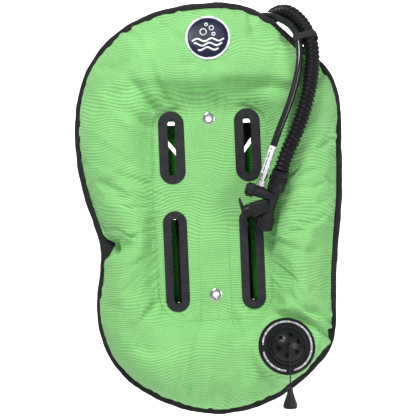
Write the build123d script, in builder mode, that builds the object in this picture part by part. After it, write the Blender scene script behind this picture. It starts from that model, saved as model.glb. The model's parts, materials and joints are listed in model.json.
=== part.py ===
from build123d import *
import os
from math import atan2, cos, hypot, pi, radians, sin, tan

os.makedirs("parts", exist_ok=True)

# Single-tank buoyancy wing, in millimetres, hanging upright as it is worn.
# +X is to the right seen from the diver's side, -Y faces the diver's backplate, +Z is up.
# The origin is midway between the two backplate grommets, on the front grommets' bearing face.

# ---------------------------------------------------------------- driving dimensions
BOLT_SPACING = 279.4  # 11 in backplate bolt spacing
SEAM_Y = 18.0  # plane of the edge seam that joins front and back shells
WALL = 2.0  # coated shell cloth
CROWN_RISE = 54.0  # highest point of the inflated tube above the seam plane
PANEL_RISE = 16.5  # outer face of the centre panel above the seam plane
PANEL_HALF_X = 96.0
PANEL_HALF_Z = 176.8
PANEL_Z = -4.2  # height of the centre panel's middle
PANEL_POWER = 6.0  # squareness of the centre panel's rounded corners
LOFT_STEPS = 6
FRONT_FACE = SEAM_Y - PANEL_RISE  # y of the centre panel's outer cloth face, front
BACK_FACE = SEAM_Y + PANEL_RISE  # and back

BINDING_WIDTH = 9.5
BINDING_HALF = 3.0
FLANGE_THICK = 1.0
FLANGE_COVER = 1.5  # binding left outside the seam flange
BINDING_GAP = 0.8
BLADDER_GAP = 2.0
BLADDER_WALL = 1.0

SLOT_X = 60.3
UPPER_SLOT = {"z": 96.2, "frame": (41.0, 115.6), "slot": (12.0, 89.0)}
LOWER_SLOT = {"z": -84.4, "frame": (38.0, 160.0), "slot": (12.0, 134.6)}
FRAME_PROUD = 1.5
COLLAR_WALL = 1.6

GROMMET_OUTER = 10.0
GROMMET_HOLE = 4.75
GROMMET_BARREL = 5.8
WEBBING_HALF = 25.0
WEBBING_THICK = 1.8
BADGE_Z = 265.0
BADGE_X = 4.0
BADGE_OUTER = 35.5
BADGE_RIM = 3.5
BADGE_THICK = 1.6

# Outer edge of the bound seam, clockwise from the top. The left side has the shallow waist
# where the cloth gathers, and the lower right the blunt corner beside the dump valve.
EDGE = [
    (0, 326),
    (60, 320),
    (113, 290),
    (156, 249),
    (193, 213),
    (210, 165),
    (211, 110),
    (207, 0),
    (196, -90),
    (191, -170),
    (182, -228),
    (150, -268),
    (105, -302),
    (0, -331),
    (-105, -301),
    (-156, -261),
    (-185, -205),
    (-189, -130),
    (-181, -66),
    (-200, 10),
    (-214, 90),
    (-213, 150),
    (-192, 225),
    (-154, 274),
    (-80, 314),
]


# ---------------------------------------------------------------- the air cell's form
def panel_point(x, z):
    """Point of the centre panel's rounded-rectangle outline that lies towards (x, z)."""
    turn = atan2(z - PANEL_Z, x)
    across = abs(cos(turn) / PANEL_HALF_X) ** PANEL_POWER
    along = abs(sin(turn) / PANEL_HALF_Z) ** PANEL_POWER
    reach = (across + along) ** (-1 / PANEL_POWER)
    return Vector(reach * cos(turn), PANEL_Z + reach * sin(turn))


def ring_outline(inset, share):
    """Closed outline round the cell: share 0 is the seam line and share 1 the centre panel.

    A positive inset draws it in from both of the tube's sides."""
    points = []
    for x, z in EDGE:
        edge = Vector(x, z)
        panel = panel_point(x, z)
        inward = (panel - edge).normalized()
        seam = edge + inward * (BINDING_WIDTH + inset)
        foot = panel - inward * inset
        points.append(seam + (foot - seam) * share)
    return points


def half_cell(inset):
    """Solid between the seam plane and the front cloth, drawn in by inset."""
    panel = PANEL_RISE - inset
    bulge = CROWN_RISE - inset - panel / 2
    with BuildPart() as form:
        for step in range(LOFT_STEPS + 1):
            turn = pi * step / LOFT_STEPS
            share = (1 - cos(turn)) / 2
            rise = bulge * sin(turn) + panel * share
            with BuildSketch(Plane.XZ.offset(rise - SEAM_Y)):
                with BuildLine():
                    Spline(*ring_outline(inset, share), periodic=True)
                make_face()
        loft()
    return form.part


def seated(form, plane, radius, inset):
    """The form with a flat round seat for a valve, facing along the plane's normal."""
    with BuildPart() as result:
        add(form)
        with BuildSketch(plane.offset(-inset)):
            Circle(radius + inset)
        extrude(amount=SEAT_CLEAR, mode=Mode.SUBTRACT)
        with BuildSketch(plane.offset(-inset)):
            Circle(radius - inset)
        extrude(amount=-SEAT_DEPTH)
    return result.part


def disc_of(points, start, end):
    """Flat solid inside a closed outline, from y = start to y = end."""
    with BuildPart() as disc:
        with BuildSketch(Plane.XZ.offset(-end)):
            with BuildLine():
                Spline(*points, periodic=True)
            make_face()
        extrude(amount=end - start)
    return disc.part


# ---------------------------------------------------------------- valve seats
SEAT_CLEAR = 40.0
SEAT_DEPTH = 30.0
DUMP_TILT_UP = radians(13)
DUMP_TILT_RIGHT = radians(7)
DUMP_SEAT_RADIUS = 46.0
DUMP = Plane(
    origin=(107.5, SEAM_Y - 46.0, -223.0),
    x_dir=(cos(DUMP_TILT_RIGHT), sin(DUMP_TILT_RIGHT), 0),
    z_dir=(sin(DUMP_TILT_RIGHT), -cos(DUMP_TILT_RIGHT) * cos(DUMP_TILT_UP), sin(DUMP_TILT_UP)),
)
ELBOW_SEAT_RADIUS = 30.0
ELBOW = Plane(origin=(88.0, SEAM_Y + 52.0, 212.0), x_dir=(-1, 0, 0), z_dir=(0, 1, 0))
MIDPLANE = Plane.XZ.offset(-SEAM_Y)

DUMP_NECK = 19.0
ELBOW_NECK = 15.0
NECK_CLEAR = 0.2


def front_and_back(inset):
    """The front half with the dump valve's seat, and the back half with the elbow's."""
    half = half_cell(inset)
    front = seated(half, DUMP, DUMP_SEAT_RADIUS, inset)
    back = seated(mirror(half, about=MIDPLANE), ELBOW, ELBOW_SEAT_RADIUS, inset)
    return front, back


FRONT_OUTSIDE, BACK_OUTSIDE = front_and_back(0)
FRONT_INSIDE, BACK_INSIDE = front_and_back(WALL)
FLANGE_EDGE = ring_outline(FLANGE_COVER - BINDING_WIDTH, 0)
FLANGE_FRONT = disc_of(FLANGE_EDGE, SEAM_Y - FLANGE_THICK, SEAM_Y)
FLANGE_BACK = disc_of(FLANGE_EDGE, SEAM_Y, SEAM_Y + FLANGE_THICK)

SLOTS = [(side * SLOT_X, size) for size in (UPPER_SLOT, LOWER_SLOT) for side in (-1, 1)]
GROMMETS = [(0, BOLT_SPACING / 2), (0, -BOLT_SPACING / 2)]
GROMMET_FIT = 0.1

ZIP_X = -87.5
ZIP_BOTTOM = -122.0
ZIP_TOP = 112.0
ZIP_SLIT = 4.0

# ---------------------------------------------------------------- front and back shells
with BuildPart() as front_shell:
    add(FRONT_OUTSIDE)
    add(FLANGE_FRONT)
    add(FRONT_INSIDE, mode=Mode.SUBTRACT)
    for x, size in SLOTS:
        width, height = size["slot"]
        with BuildSketch(Plane.XZ):
            with Locations((x, size["z"])):
                SlotOverall(height + 2 * COLLAR_WALL, width + 2 * COLLAR_WALL, rotation=90)
        extrude(amount=PANEL_RISE, both=True, mode=Mode.SUBTRACT)
    with BuildSketch(Plane.XZ):
        with Locations(*GROMMETS):
            Circle(GROMMET_BARREL + GROMMET_FIT)
    extrude(amount=PANEL_RISE, both=True, mode=Mode.SUBTRACT)
    with BuildSketch(DUMP):
        Circle(DUMP_NECK + NECK_CLEAR)
    extrude(amount=3 * WALL, both=True, mode=Mode.SUBTRACT)
front_shell.part.label = "front_shell"
export_step(front_shell.part, "parts/front_shell.step")

with BuildPart() as back_shell:
    add(BACK_OUTSIDE)
    add(FLANGE_BACK)
    add(BACK_INSIDE, mode=Mode.SUBTRACT)
    for x, size in SLOTS:
        width, height = size["slot"]
        with BuildSketch(Plane.XZ.offset(-BACK_FACE)):
            with Locations((x, size["z"])):
                SlotOverall(height + 2 * COLLAR_WALL, width + 2 * COLLAR_WALL, rotation=90)
        extrude(amount=PANEL_RISE, both=True, mode=Mode.SUBTRACT)
    with BuildSketch(Plane.XZ.offset(-BACK_FACE)):
        with Locations(*GROMMETS):
            Circle(GROMMET_BARREL + GROMMET_FIT)
    extrude(amount=PANEL_RISE, both=True, mode=Mode.SUBTRACT)
    with BuildSketch(Plane.XZ.offset(-BACK_FACE)):
        with Locations((ZIP_X, (ZIP_TOP + ZIP_BOTTOM) / 2)):
            Rectangle(ZIP_SLIT, ZIP_TOP - ZIP_BOTTOM - 2 * ZIP_SLIT)
    extrude(amount=2 * WALL, both=True, mode=Mode.SUBTRACT)
    with BuildSketch(ELBOW):
        Circle(ELBOW_NECK + NECK_CLEAR)
    extrude(amount=3 * WALL, both=True, mode=Mode.SUBTRACT)
back_shell.part.label = "back_shell"
export_step(back_shell.part, "parts/back_shell.step")

# ---------------------------------------------------------------- edge binding
BINDING_OUT = disc_of(ring_outline(-BINDING_WIDTH, 0), SEAM_Y - BINDING_HALF, SEAM_Y + BINDING_HALF)
BINDING_IN = disc_of(ring_outline(-BINDING_GAP, 0), SEAM_Y - BINDING_HALF, SEAM_Y + BINDING_HALF)
with BuildPart() as edge_binding:
    add(BINDING_OUT)
    add(BINDING_IN, mode=Mode.SUBTRACT)
    add(FLANGE_FRONT, mode=Mode.SUBTRACT)
    add(FLANGE_BACK, mode=Mode.SUBTRACT)
edge_binding.part.label = "edge_binding"
export_step(edge_binding.part, "parts/edge_binding.step")

# ---------------------------------------------------------------- inner bladder
BLADDER_OUT = WALL + BLADDER_GAP
BLADDER_IN = BLADDER_OUT + BLADDER_WALL
COLUMN_GAP = 1.2


def ring_cell(inset):
    """Whole inflated ring, front and back halves, open in the middle."""
    front, back = front_and_back(inset)
    column = disc_of(ring_outline(inset + COLUMN_GAP, 1), SEAM_Y - CROWN_RISE, SEAM_Y + CROWN_RISE)
    with BuildPart() as ring:
        add(front)
        add(back)
        add(column, mode=Mode.SUBTRACT)
    return ring.part


BLADDER_SKIN = ring_cell(BLADDER_OUT)
BLADDER_AIR = ring_cell(BLADDER_IN)
with BuildPart() as bladder:
    add(BLADDER_SKIN)
    add(BLADDER_AIR, mode=Mode.SUBTRACT)
    with BuildSketch(DUMP):
        Circle(DUMP_NECK + NECK_CLEAR)
    extrude(amount=-4 * WALL, mode=Mode.SUBTRACT)
    with BuildSketch(ELBOW):
        Circle(ELBOW_NECK + NECK_CLEAR)
    extrude(amount=-4 * WALL, mode=Mode.SUBTRACT)
bladder.part.label = "bladder"
export_step(bladder.part, "parts/bladder.step")
print("air cell litres", round(BLADDER_AIR.volume / 1e6, 2))


def turned(plane, profile):
    """Solid of revolution about the plane's normal, from (radius, height) corners."""
    side = Plane(origin=plane.origin, x_dir=plane.x_dir, z_dir=plane.y_dir * -1)
    with BuildPart() as body:
        with BuildSketch(side):
            with BuildLine():
                Polyline(*profile, close=True)
            make_face()
        revolve(axis=Axis(plane.origin, plane.z_dir))
    return body.part


def ring(plane, inner, outer, start, end):
    """Plain ring about the plane's normal, between two heights."""
    return turned(plane, [(inner, start), (outer, start), (outer, end), (inner, end)])


# ---------------------------------------------------------------- slot frames and inner flaps
FRAME_BACKING = 1.0
BACKING_INSET = 5.0


def slot_frame(face_y, outward, x, size):
    """Moulded frame round one strap slot: outer flange, collar through the cloth, backing flange."""
    width, height = size["frame"]
    slot_width, slot_height = size["slot"]
    with BuildPart() as frame:
        with BuildSketch(Plane.XZ.offset(-face_y)):
            with Locations((x, size["z"])):
                SlotOverall(height, width, rotation=90)
        extrude(amount=-outward * FRAME_PROUD)
        chamfer(frame.faces().sort_by(Axis.Y)[-1 if outward > 0 else 0].edges(), FRAME_PROUD / 2)
        with BuildSketch(Plane.XZ.offset(-face_y)):
            with Locations((x, size["z"])):
                SlotOverall(slot_height + 2 * COLLAR_WALL, slot_width + 2 * COLLAR_WALL, rotation=90)
        extrude(amount=outward * WALL)
        with BuildSketch(Plane.XZ.offset(-face_y + outward * WALL)):
            with Locations((x, size["z"])):
                SlotOverall(height - BACKING_INSET, width - BACKING_INSET, rotation=90)
        extrude(amount=outward * FRAME_BACKING)
        with BuildSketch(Plane.XZ.offset(-face_y)):
            with Locations((x, size["z"])):
                SlotOverall(slot_height, slot_width, rotation=90)
        extrude(amount=2 * PANEL_RISE, both=True, mode=Mode.SUBTRACT)
    return frame.part


for layer, face_y, outward in (("front", FRONT_FACE, -1), ("rear", BACK_FACE, 1)):
    for row, size in (("upper", UPPER_SLOT), ("lower", LOWER_SLOT)):
        for side, x in (("left", -SLOT_X), ("right", SLOT_X)):
            frame = slot_frame(face_y, outward, x, size)
            frame.label = f"slot_frame_{layer}_{row}_{side}"
            export_step(frame, f"parts/slot_frame_{layer}_{row}_{side}.step")

# Cloth flaps lie behind the rear slots, inside the wing. The upper ones are split: a short gap at
# the top and a slanted one lower down let the cam band's end through.
FLAP_THICK = 0.8
FLAP_HALF = 14.0
FLAP_BACK = BACK_FACE - WALL - FRAME_BACKING
FLAP_TOP_GAP = (133.5, 138.8)
FLAP_SLANT_OUTER = 119.0
FLAP_SLANT_INNER = 83.0
FLAP_SLANT_GAP = 9.3
with BuildPart() as slot_flaps:
    for side in (-1, 1):
        outer = side * (SLOT_X + FLAP_HALF)
        inner = side * (SLOT_X - FLAP_HALF)
        reach = UPPER_SLOT["slot"][1] / 2 + COLLAR_WALL
        top = UPPER_SLOT["z"] + reach
        bottom = UPPER_SLOT["z"] - reach
        with BuildSketch(Plane.XZ.offset(-FLAP_BACK)):
            with BuildLine():
                Polyline(
                    (outer, FLAP_TOP_GAP[0]),
                    (inner, FLAP_TOP_GAP[0]),
                    (inner, FLAP_SLANT_INNER),
                    (outer, FLAP_SLANT_OUTER),
                    close=True,
                )
            make_face()
            with BuildLine():
                Polyline(
                    (outer, FLAP_SLANT_OUTER - FLAP_SLANT_GAP),
                    (inner, FLAP_SLANT_INNER - FLAP_SLANT_GAP),
                    (inner, bottom),
                    (outer, bottom),
                    close=True,
                )
            make_face()
            with Locations((side * SLOT_X, (top + FLAP_TOP_GAP[1]) / 2)):
                Rectangle(2 * FLAP_HALF, top - FLAP_TOP_GAP[1])
            with Locations((side * SLOT_X, LOWER_SLOT["z"])):
                Rectangle(2 * FLAP_HALF, LOWER_SLOT["slot"][1] + 2 * COLLAR_WALL)
        extrude(amount=FLAP_THICK)
slot_flaps.part.label = "slot_flaps"
export_step(slot_flaps.part, "parts/slot_flaps.step")

# ---------------------------------------------------------------- backplate grommets and webbing
STACK = WALL + WEBBING_THICK  # cloth and webbing gripped by each grommet
WASHER_THICK = 1.0
WASHER_OUTER = 9.0
CLINCH_WIDTH = 1.0
CLINCH_THICK = 0.6
RIM_INNER = GROMMET_OUTER - FRONT_FACE


def grommet_planes(face_y, outward):
    return [Plane(origin=(x, face_y, z), x_dir=(1, 0, 0), z_dir=(0, outward, 0)) for x, z in GROMMETS]


FRONT_GROMMETS = grommet_planes(FRONT_FACE, -1)
REAR_GROMMETS = grommet_planes(BACK_FACE, 1)
EYELET = [
    (GROMMET_HOLE, FRONT_FACE - 0.4),
    (GROMMET_HOLE + 0.6, FRONT_FACE),
    (RIM_INNER, FRONT_FACE),
    (GROMMET_OUTER - 0.5, FRONT_FACE - 0.5),
    (GROMMET_OUTER, 0),
    (GROMMET_BARREL, 0),
    (GROMMET_BARREL, -STACK - WASHER_THICK),
    (GROMMET_BARREL + CLINCH_WIDTH, -STACK - WASHER_THICK),
    (GROMMET_BARREL + CLINCH_WIDTH, -STACK - WASHER_THICK - CLINCH_THICK),
    (GROMMET_HOLE, -STACK - WASHER_THICK - CLINCH_THICK),
]

for layer, planes in (("front", FRONT_GROMMETS), ("rear", REAR_GROMMETS)):
    with BuildPart() as eyelets:
        for plane in planes:
            add(turned(plane, EYELET))
    eyelets.part.label = f"{layer}_grommets"
    export_step(eyelets.part, f"parts/{layer}_grommets.step")

with BuildPart() as grommet_washers:
    for plane in FRONT_GROMMETS + REAR_GROMMETS:
        add(ring(plane, GROMMET_BARREL + 0.05, WASHER_OUTER, -STACK - WASHER_THICK, -STACK))
grommet_washers.part.label = "grommet_washers"
export_step(grommet_washers.part, "parts/grommet_washers.step")

WEBBING_TOP = 166.0
WEBBING_BOTTOM = -174.0
for layer, start in (("front", WALL + FRONT_FACE), ("rear", BACK_FACE - STACK)):
    with BuildPart() as webbing:
        with BuildSketch(Plane.XZ.offset(-start)):
            with Locations((0, (WEBBING_TOP + WEBBING_BOTTOM) / 2)):
                Rectangle(2 * WEBBING_HALF, WEBBING_TOP - WEBBING_BOTTOM)
            with Locations(*GROMMETS):
                Circle(GROMMET_BARREL + GROMMET_FIT, mode=Mode.SUBTRACT)
        extrude(amount=-WEBBING_THICK)
    webbing.part.label = f"{layer}_spine_webbing"
    export_step(webbing.part, f"parts/{layer}_spine_webbing.step")

# ---------------------------------------------------------------- badge, welded to the cloth
BADGE_FORM = half_cell(-BADGE_THICK)
BADGE_TOP = half_cell(-BADGE_THICK - 0.4)


def badge_ring(form, inner, outer):
    """Part of a thin layer over the front cloth between two radii round the badge's middle."""
    with BuildPart() as layer:
        with BuildSketch(Plane.XZ.offset(CROWN_RISE / 2 - SEAM_Y)):
            with Locations((BADGE_X, BADGE_Z)):
                Circle(outer)
                if inner > 0:
                    Circle(inner, mode=Mode.SUBTRACT)
        extrude(amount=CROWN_RISE)
        add(form, mode=Mode.INTERSECT)
        add(FRONT_OUTSIDE, mode=Mode.SUBTRACT)
    return layer.part


badge_face = badge_ring(BADGE_FORM, 0, BADGE_OUTER - BADGE_RIM)
badge_face.label = "badge_face"
export_step(badge_face, "parts/badge_face.step")
badge_rim = badge_ring(BADGE_TOP, BADGE_OUTER - BADGE_RIM, BADGE_OUTER)
badge_rim.label = "badge_rim"
export_step(badge_rim, "parts/badge_rim.step")

# ---------------------------------------------------------------- rear zip into the cell
TAPE_WIDTH = 4.5
TAPE_THICK = 0.8
CHAIN_HALF = 1.5
CHAIN_THICK = 2.0
TOOTH_PITCH = 3.0
TOOTH_HEIGHT = 2.0
ZIP_MIDDLE = (ZIP_TOP + ZIP_BOTTOM) / 2
ZIP_LENGTH = ZIP_TOP - ZIP_BOTTOM
SLIDER_HALF = 6.0
SLIDER_GAP = 0.3
SLIDER_BODY = 2.4
SLIDER_REST = ZIP_TOP - SLIDER_HALF - 3.0

with BuildPart() as zip_tapes:
    with BuildSketch(Plane.XZ.offset(-BACK_FACE)):
        for side in (-1, 1):
            with Locations((ZIP_X + side * (CHAIN_HALF + TAPE_WIDTH / 2), ZIP_MIDDLE)):
                Rectangle(TAPE_WIDTH, ZIP_LENGTH)
    extrude(amount=-TAPE_THICK)
zip_tapes.part.label = "zip_tapes"
export_step(zip_tapes.part, "parts/zip_tapes.step")

CHAIN_LENGTH = ZIP_LENGTH - 6.0
with BuildPart() as zip_chain:
    with BuildSketch(Plane.XZ.offset(-BACK_FACE)):
        with Locations((ZIP_X, ZIP_MIDDLE)):
            Rectangle(2 * CHAIN_HALF, CHAIN_LENGTH)
    extrude(amount=-TAPE_THICK)
    with BuildSketch(Plane.XZ.offset(-BACK_FACE - TAPE_THICK)):
        with Locations((ZIP_X, ZIP_MIDDLE)):
            with GridLocations(1, TOOTH_PITCH, 1, int(CHAIN_LENGTH / TOOTH_PITCH)):
                Rectangle(2 * CHAIN_HALF + 0.6, TOOTH_HEIGHT)
    extrude(amount=TAPE_THICK - CHAIN_THICK)
zip_chain.part.label = "zip_chain"
export_step(zip_chain.part, "parts/zip_chain.step")

with BuildPart() as zip_stops:
    with BuildSketch(Plane.XZ.offset(-BACK_FACE)):
        with Locations((ZIP_X, ZIP_TOP - 1.2), (ZIP_X, ZIP_BOTTOM + 1.2)):
            Rectangle(2 * CHAIN_HALF, 2.4)
    extrude(amount=-CHAIN_THICK)
zip_stops.part.label = "zip_stops"
export_step(zip_stops.part, "parts/zip_stops.step")

SLIDER_BASE = BACK_FACE + CHAIN_THICK + SLIDER_GAP
EYE_HALF = 1.4
EYE_RISE = 4.2
EYE_HOLE = 1.2
PIN_Y = SLIDER_BASE + SLIDER_BODY + EYE_RISE / 2
with BuildPart() as zip_slider:
    with BuildSketch(Plane.XZ.offset(-SLIDER_BASE)):
        with Locations((ZIP_X, SLIDER_REST)):
            Trapezoid(10, 2 * SLIDER_HALF, 78)
    extrude(amount=-SLIDER_BODY)
    fillet(zip_slider.faces().sort_by(Axis.Y)[-1].edges(), 0.8)
    with BuildSketch(Plane.XZ.offset(-SLIDER_BASE)):
        for side in (-1, 1):
            with Locations((ZIP_X + side * 3.4, SLIDER_REST - 1)):
                Rectangle(1.2, 2 * SLIDER_HALF - 3)
    extrude(amount=CHAIN_THICK - TAPE_THICK)
    with BuildSketch(Plane.XZ.offset(-SLIDER_BASE - SLIDER_BODY)):
        with Locations((ZIP_X, SLIDER_REST)):
            Rectangle(2 * EYE_HALF, 7)
    extrude(amount=-EYE_RISE)
    with BuildSketch(Plane.YZ.offset(ZIP_X)):
        with Locations((PIN_Y, SLIDER_REST)):
            Circle(EYE_HOLE)
    extrude(amount=2 * EYE_HALF, both=True, mode=Mode.SUBTRACT)
zip_slider.part.label = "zip_slider"
export_step(zip_slider.part, "parts/zip_slider.step")

PULL_LENGTH = 30.0
PULL_THICK = 1.6
PIN_RADIUS = 0.8
ARM_X = 3.2
with BuildPart() as zip_pull:
    with BuildSketch(Plane.YZ.offset(ZIP_X)):
        with Locations((PIN_Y, SLIDER_REST)):
            Circle(PIN_RADIUS)
    extrude(amount=ARM_X, both=True)
    with BuildSketch(Plane.XZ.offset(-PIN_Y - PULL_THICK / 2)):
        for side in (-1, 1):
            with Locations((ZIP_X + side * (ARM_X - 0.7), SLIDER_REST - 4)):
                Rectangle(1.4, 9.6)
        with Locations((ZIP_X, SLIDER_REST - 8 - PULL_LENGTH / 2)):
            RectangleRounded(8, PULL_LENGTH, 3)
        with Locations((ZIP_X, SLIDER_REST - 3 - PULL_LENGTH)):
            SlotOverall(7, 3, rotation=90, mode=Mode.SUBTRACT)
    extrude(amount=PULL_THICK)
zip_pull.part.label = "zip_pull"
export_step(zip_pull.part, "parts/zip_pull.step")

# ---------------------------------------------------------------- dump valve, lower right
INNER_FACE = -BLADDER_IN  # bladder's inner surface, below a seat
NECK_TOP = 8.0
SEAT_BORE = 11.0
BASE_BORE = 15.0
BASE_FLANGE = 30.0
DUMP_LIFT = 5.0
with BuildPart() as dump_base:
    add(
        turned(
            DUMP,
            [
                (BASE_BORE, INNER_FACE - 2),
                (BASE_FLANGE, INNER_FACE - 2),
                (BASE_FLANGE, INNER_FACE),
                (DUMP_NECK, INNER_FACE),
                (DUMP_NECK, NECK_TOP),
                (BASE_BORE, NECK_TOP),
                (BASE_BORE, 3),
                (SEAT_BORE + 1, 3),
                (SEAT_BORE, 2.2),
                (SEAT_BORE, 1),
                (BASE_BORE, 1),
            ],
        )
    )
dump_base.part.label = "dump_base"
export_step(dump_base.part, "parts/dump_base.step")

dump_gasket = ring(DUMP, DUMP_NECK + 0.1, 28, -BLADDER_OUT, -WALL)
dump_gasket.label = "dump_gasket"
export_step(dump_gasket, "parts/dump_gasket.step")

DUMP_FLANGE = 45.0
FLANGE_RISE = 2.6
dump_flange = turned(
    DUMP,
    [(DUMP_NECK + 0.1, 0), (DUMP_FLANGE, 0), (DUMP_FLANGE, 0.8), (DUMP_FLANGE - 2, FLANGE_RISE),
     (DUMP_NECK + 0.1, FLANGE_RISE)],
)
dump_flange.label = "dump_flange"
export_step(dump_flange, "parts/dump_flange.step")

RING_OUTER = 29.5
CAP_OUTER = 26.0
CAP_SEAT = 5.2
RING_RISE = 8.6
dump_ring = turned(
    DUMP,
    [(DUMP_NECK + 0.05, FLANGE_RISE), (RING_OUTER, FLANGE_RISE), (RING_OUTER, RING_RISE - 1.6),
     (RING_OUTER - 1.2, RING_RISE), (CAP_OUTER + 1, RING_RISE), (CAP_OUTER + 0.1, RING_RISE - 1),
     (CAP_OUTER + 0.1, CAP_SEAT), (DUMP_NECK + 0.05, CAP_SEAT)],
)
dump_ring.label = "dump_ring"
export_step(dump_ring, "parts/dump_ring.step")

CAP_WALL = 2.0
CAP_RISE = 21.0
CAP_SHOULDER = 9.5
PORT_RADIUS = 16.5
CORD_HOLE = 2.2
DUMP_SIDE = Plane(origin=DUMP.origin, x_dir=DUMP.x_dir, z_dir=DUMP.y_dir * -1)
with BuildPart() as dump_cap:
    with BuildSketch(DUMP_SIDE):
        with BuildLine():
            Line((CORD_HOLE, CAP_RISE), (CORD_HOLE, CAP_RISE - CAP_WALL))
            ThreePointArc(
                (CORD_HOLE, CAP_RISE - CAP_WALL),
                (14, CAP_RISE - CAP_WALL - 3.4),
                (CAP_OUTER - CAP_WALL, CAP_SHOULDER - 1.4),
            )
            Line((CAP_OUTER - CAP_WALL, CAP_SHOULDER - 1.4), (CAP_OUTER - CAP_WALL, CAP_SEAT))
            Line((CAP_OUTER - CAP_WALL, CAP_SEAT), (CAP_OUTER, CAP_SEAT))
            Line((CAP_OUTER, CAP_SEAT), (CAP_OUTER, CAP_SHOULDER))
            ThreePointArc((CAP_OUTER, CAP_SHOULDER), (15, CAP_RISE - 3.6), (CORD_HOLE, CAP_RISE))
        make_face()
    revolve(axis=Axis(DUMP.origin, DUMP.z_dir))
    with BuildSketch(DUMP.offset(CAP_SEAT)):
        with PolarLocations(PORT_RADIUS, 6, start_angle=75):
            Circle(3.2)
            with Locations((-3.2, 0)):
                RegularPolygon(2.6, 3, rotation=180)
    extrude(amount=CAP_RISE, mode=Mode.SUBTRACT)
dump_cap.part.label = "dump_cap"
export_step(dump_cap.part, "parts/dump_cap.step")

POPPET_RADIUS = 13.6
POPPET_BOTTOM = 4.0
STEM_TOP = 13.0
dump_poppet = turned(
    DUMP,
    [(0, POPPET_BOTTOM), (POPPET_RADIUS, POPPET_BOTTOM), (POPPET_RADIUS, 5.4), (3, 6.6), (2, 7.6),
     (2, STEM_TOP), (0, STEM_TOP)],
)
dump_poppet.label = "dump_poppet"
export_step(dump_poppet, "parts/dump_poppet.step")

dump_seal = ring(DUMP, SEAT_BORE - 1, POPPET_RADIUS - 0.4, 3.1, POPPET_BOTTOM)
dump_seal.label = "dump_seal"
export_step(dump_seal, "parts/dump_seal.step")

dump_spring = ring(DUMP, 5.0, 7.0, 6.6 + DUMP_LIFT, 17.2)
dump_spring.label = "dump_spring"
export_step(dump_spring, "parts/dump_spring.step")


# ---------------------------------------------------------------- hoses and cords
def corner_radii(route):
    """Bend radius at each inner point: an arc over 0.45 of the shorter run beside it."""
    runs = [Vector(*b) - Vector(*a) for a, b in zip(route, route[1:])]
    return [
        0.45 * min(before.length, after.length) / tan(radians(before.get_angle(after)) / 2)
        for before, after in zip(runs, runs[1:])
    ]


def tube(route, radius):
    """Plain round tube along straight runs and tangent arcs."""
    with BuildPart() as body:
        with BuildLine() as path:
            FilletPolyline(*route, radius=corner_radii(route))
        line = path.wires()[0]
        with BuildSketch(Plane(origin=line @ 0, z_dir=line % 0)):
            Circle(radius)
        sweep(path=line)
    section = pi * radius**2
    print("bend radii", [round(r) for r in corner_radii(route)])
    print("length", round(line.length, 1), "volume over section", round(body.part.volume / section, 1))
    return body.part, line


HOSE_RADIUS = 12.0
HOSE_ROUTE = [
    (95, 95, 246),
    (99.2, 95, 266.4),
    (103, 81, 295),
    (113, 46, 309),
    (135, 15, 308),
    (156, -5, 283),
    (166, -20, 253),
    (166.5, -32, 221),
    (161, -43.5, 189),
    (151, -51, 151),
    (134, -54, 108),
    (116.1, -52.7, 74.3),
    (108.9, -46.5, 52.3),
]
corrugated_hose, hose_line = tube(HOSE_ROUTE, HOSE_RADIUS)
corrugated_hose.label = "corrugated_hose"
export_step(corrugated_hose, "parts/corrugated_hose.step")

LP_RADIUS = 5.5
LP_ROUTE = [
    (81.0, -42.1, 44.1),
    (87.0, -47.3, 62.5),
    (97.5, -49, 88),
    (109, -50, 117),
    (123, -48.5, 148),
    (131.5, -46.5, 170),
    (138, -43.5, 190),
    (144, -40, 214),
    (147, -33, 239),
    (145, -22, 263),
    (136.5, -7, 281),
    (122, 9, 294),
    (107, 25, 302),
    (91, 38, 305),
    (75, 51, 300),
    (60, 66, 287),
    (46, 79, 266),
    (37, 84.5, 241),
    (32, 85, 214),
    (29.5, 82, 186),
    (28, 79, 158),
    (27.5, 77, 132),
]
lp_hose, lp_line = tube(LP_ROUTE, LP_RADIUS)
lp_hose.label = "lp_hose"
export_step(lp_hose, "parts/lp_hose.step")

CORD_RADIUS = 1.0
CORD_ROUTE = [
    (109.2, -41.5, -219.9),
    (110.5, -51.7, -217.5),
    (111.0, -57.0, -224.0),
    (108.5, -57.2, -284.2),
]
dump_cord, cord_line = tube(CORD_ROUTE, CORD_RADIUS)
dump_cord.label = "dump_cord"
export_step(dump_cord, "parts/dump_cord.step")

KNOB_TOP = CORD_ROUTE[-1]
KNOB = Plane(origin=KNOB_TOP, z_dir=cord_line % 1)
dump_knob = turned(
    KNOB,
    [(0, 0), (3.4, 0), (4.2, 0.8), (4.4, 5), (6.4, 11), (9.2, 19), (11.2, 25.5), (11.4, 28.5),
     (9.8, 31.2), (6, 32.4), (0, 32.4)],
)
dump_knob.label = "dump_knob"
export_step(dump_knob, "parts/dump_knob.step")

# ---------------------------------------------------------------- elbow on the back shell
ELBOW_BORE = 12.0
ELBOW_FLANGE = 24.0
NECK_RISE = 7.0
FOOT_TOP = 9.2
NUT_TOP = 11.0
NUT_OUTER = 23.0
ELBOW_PIPE = 13.0
ELBOW_INSIDE = 9.0
HOSE_START = Vector(*HOSE_ROUTE[0])
SPIGOT_DIRECTION = (Vector(*HOSE_ROUTE[1]) - HOSE_START).normalized()
ELBOW_CENTRE = Vector(ELBOW.origin.X, HOSE_START.Y, ELBOW.origin.Z)
SPIGOT = Plane(origin=ELBOW_CENTRE, z_dir=SPIGOT_DIRECTION)
SPIGOT_LENGTH = (HOSE_START - ELBOW_CENTRE).length
ELBOW_HEIGHT = ELBOW_CENTRE.Y - ELBOW.origin.Y

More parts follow.
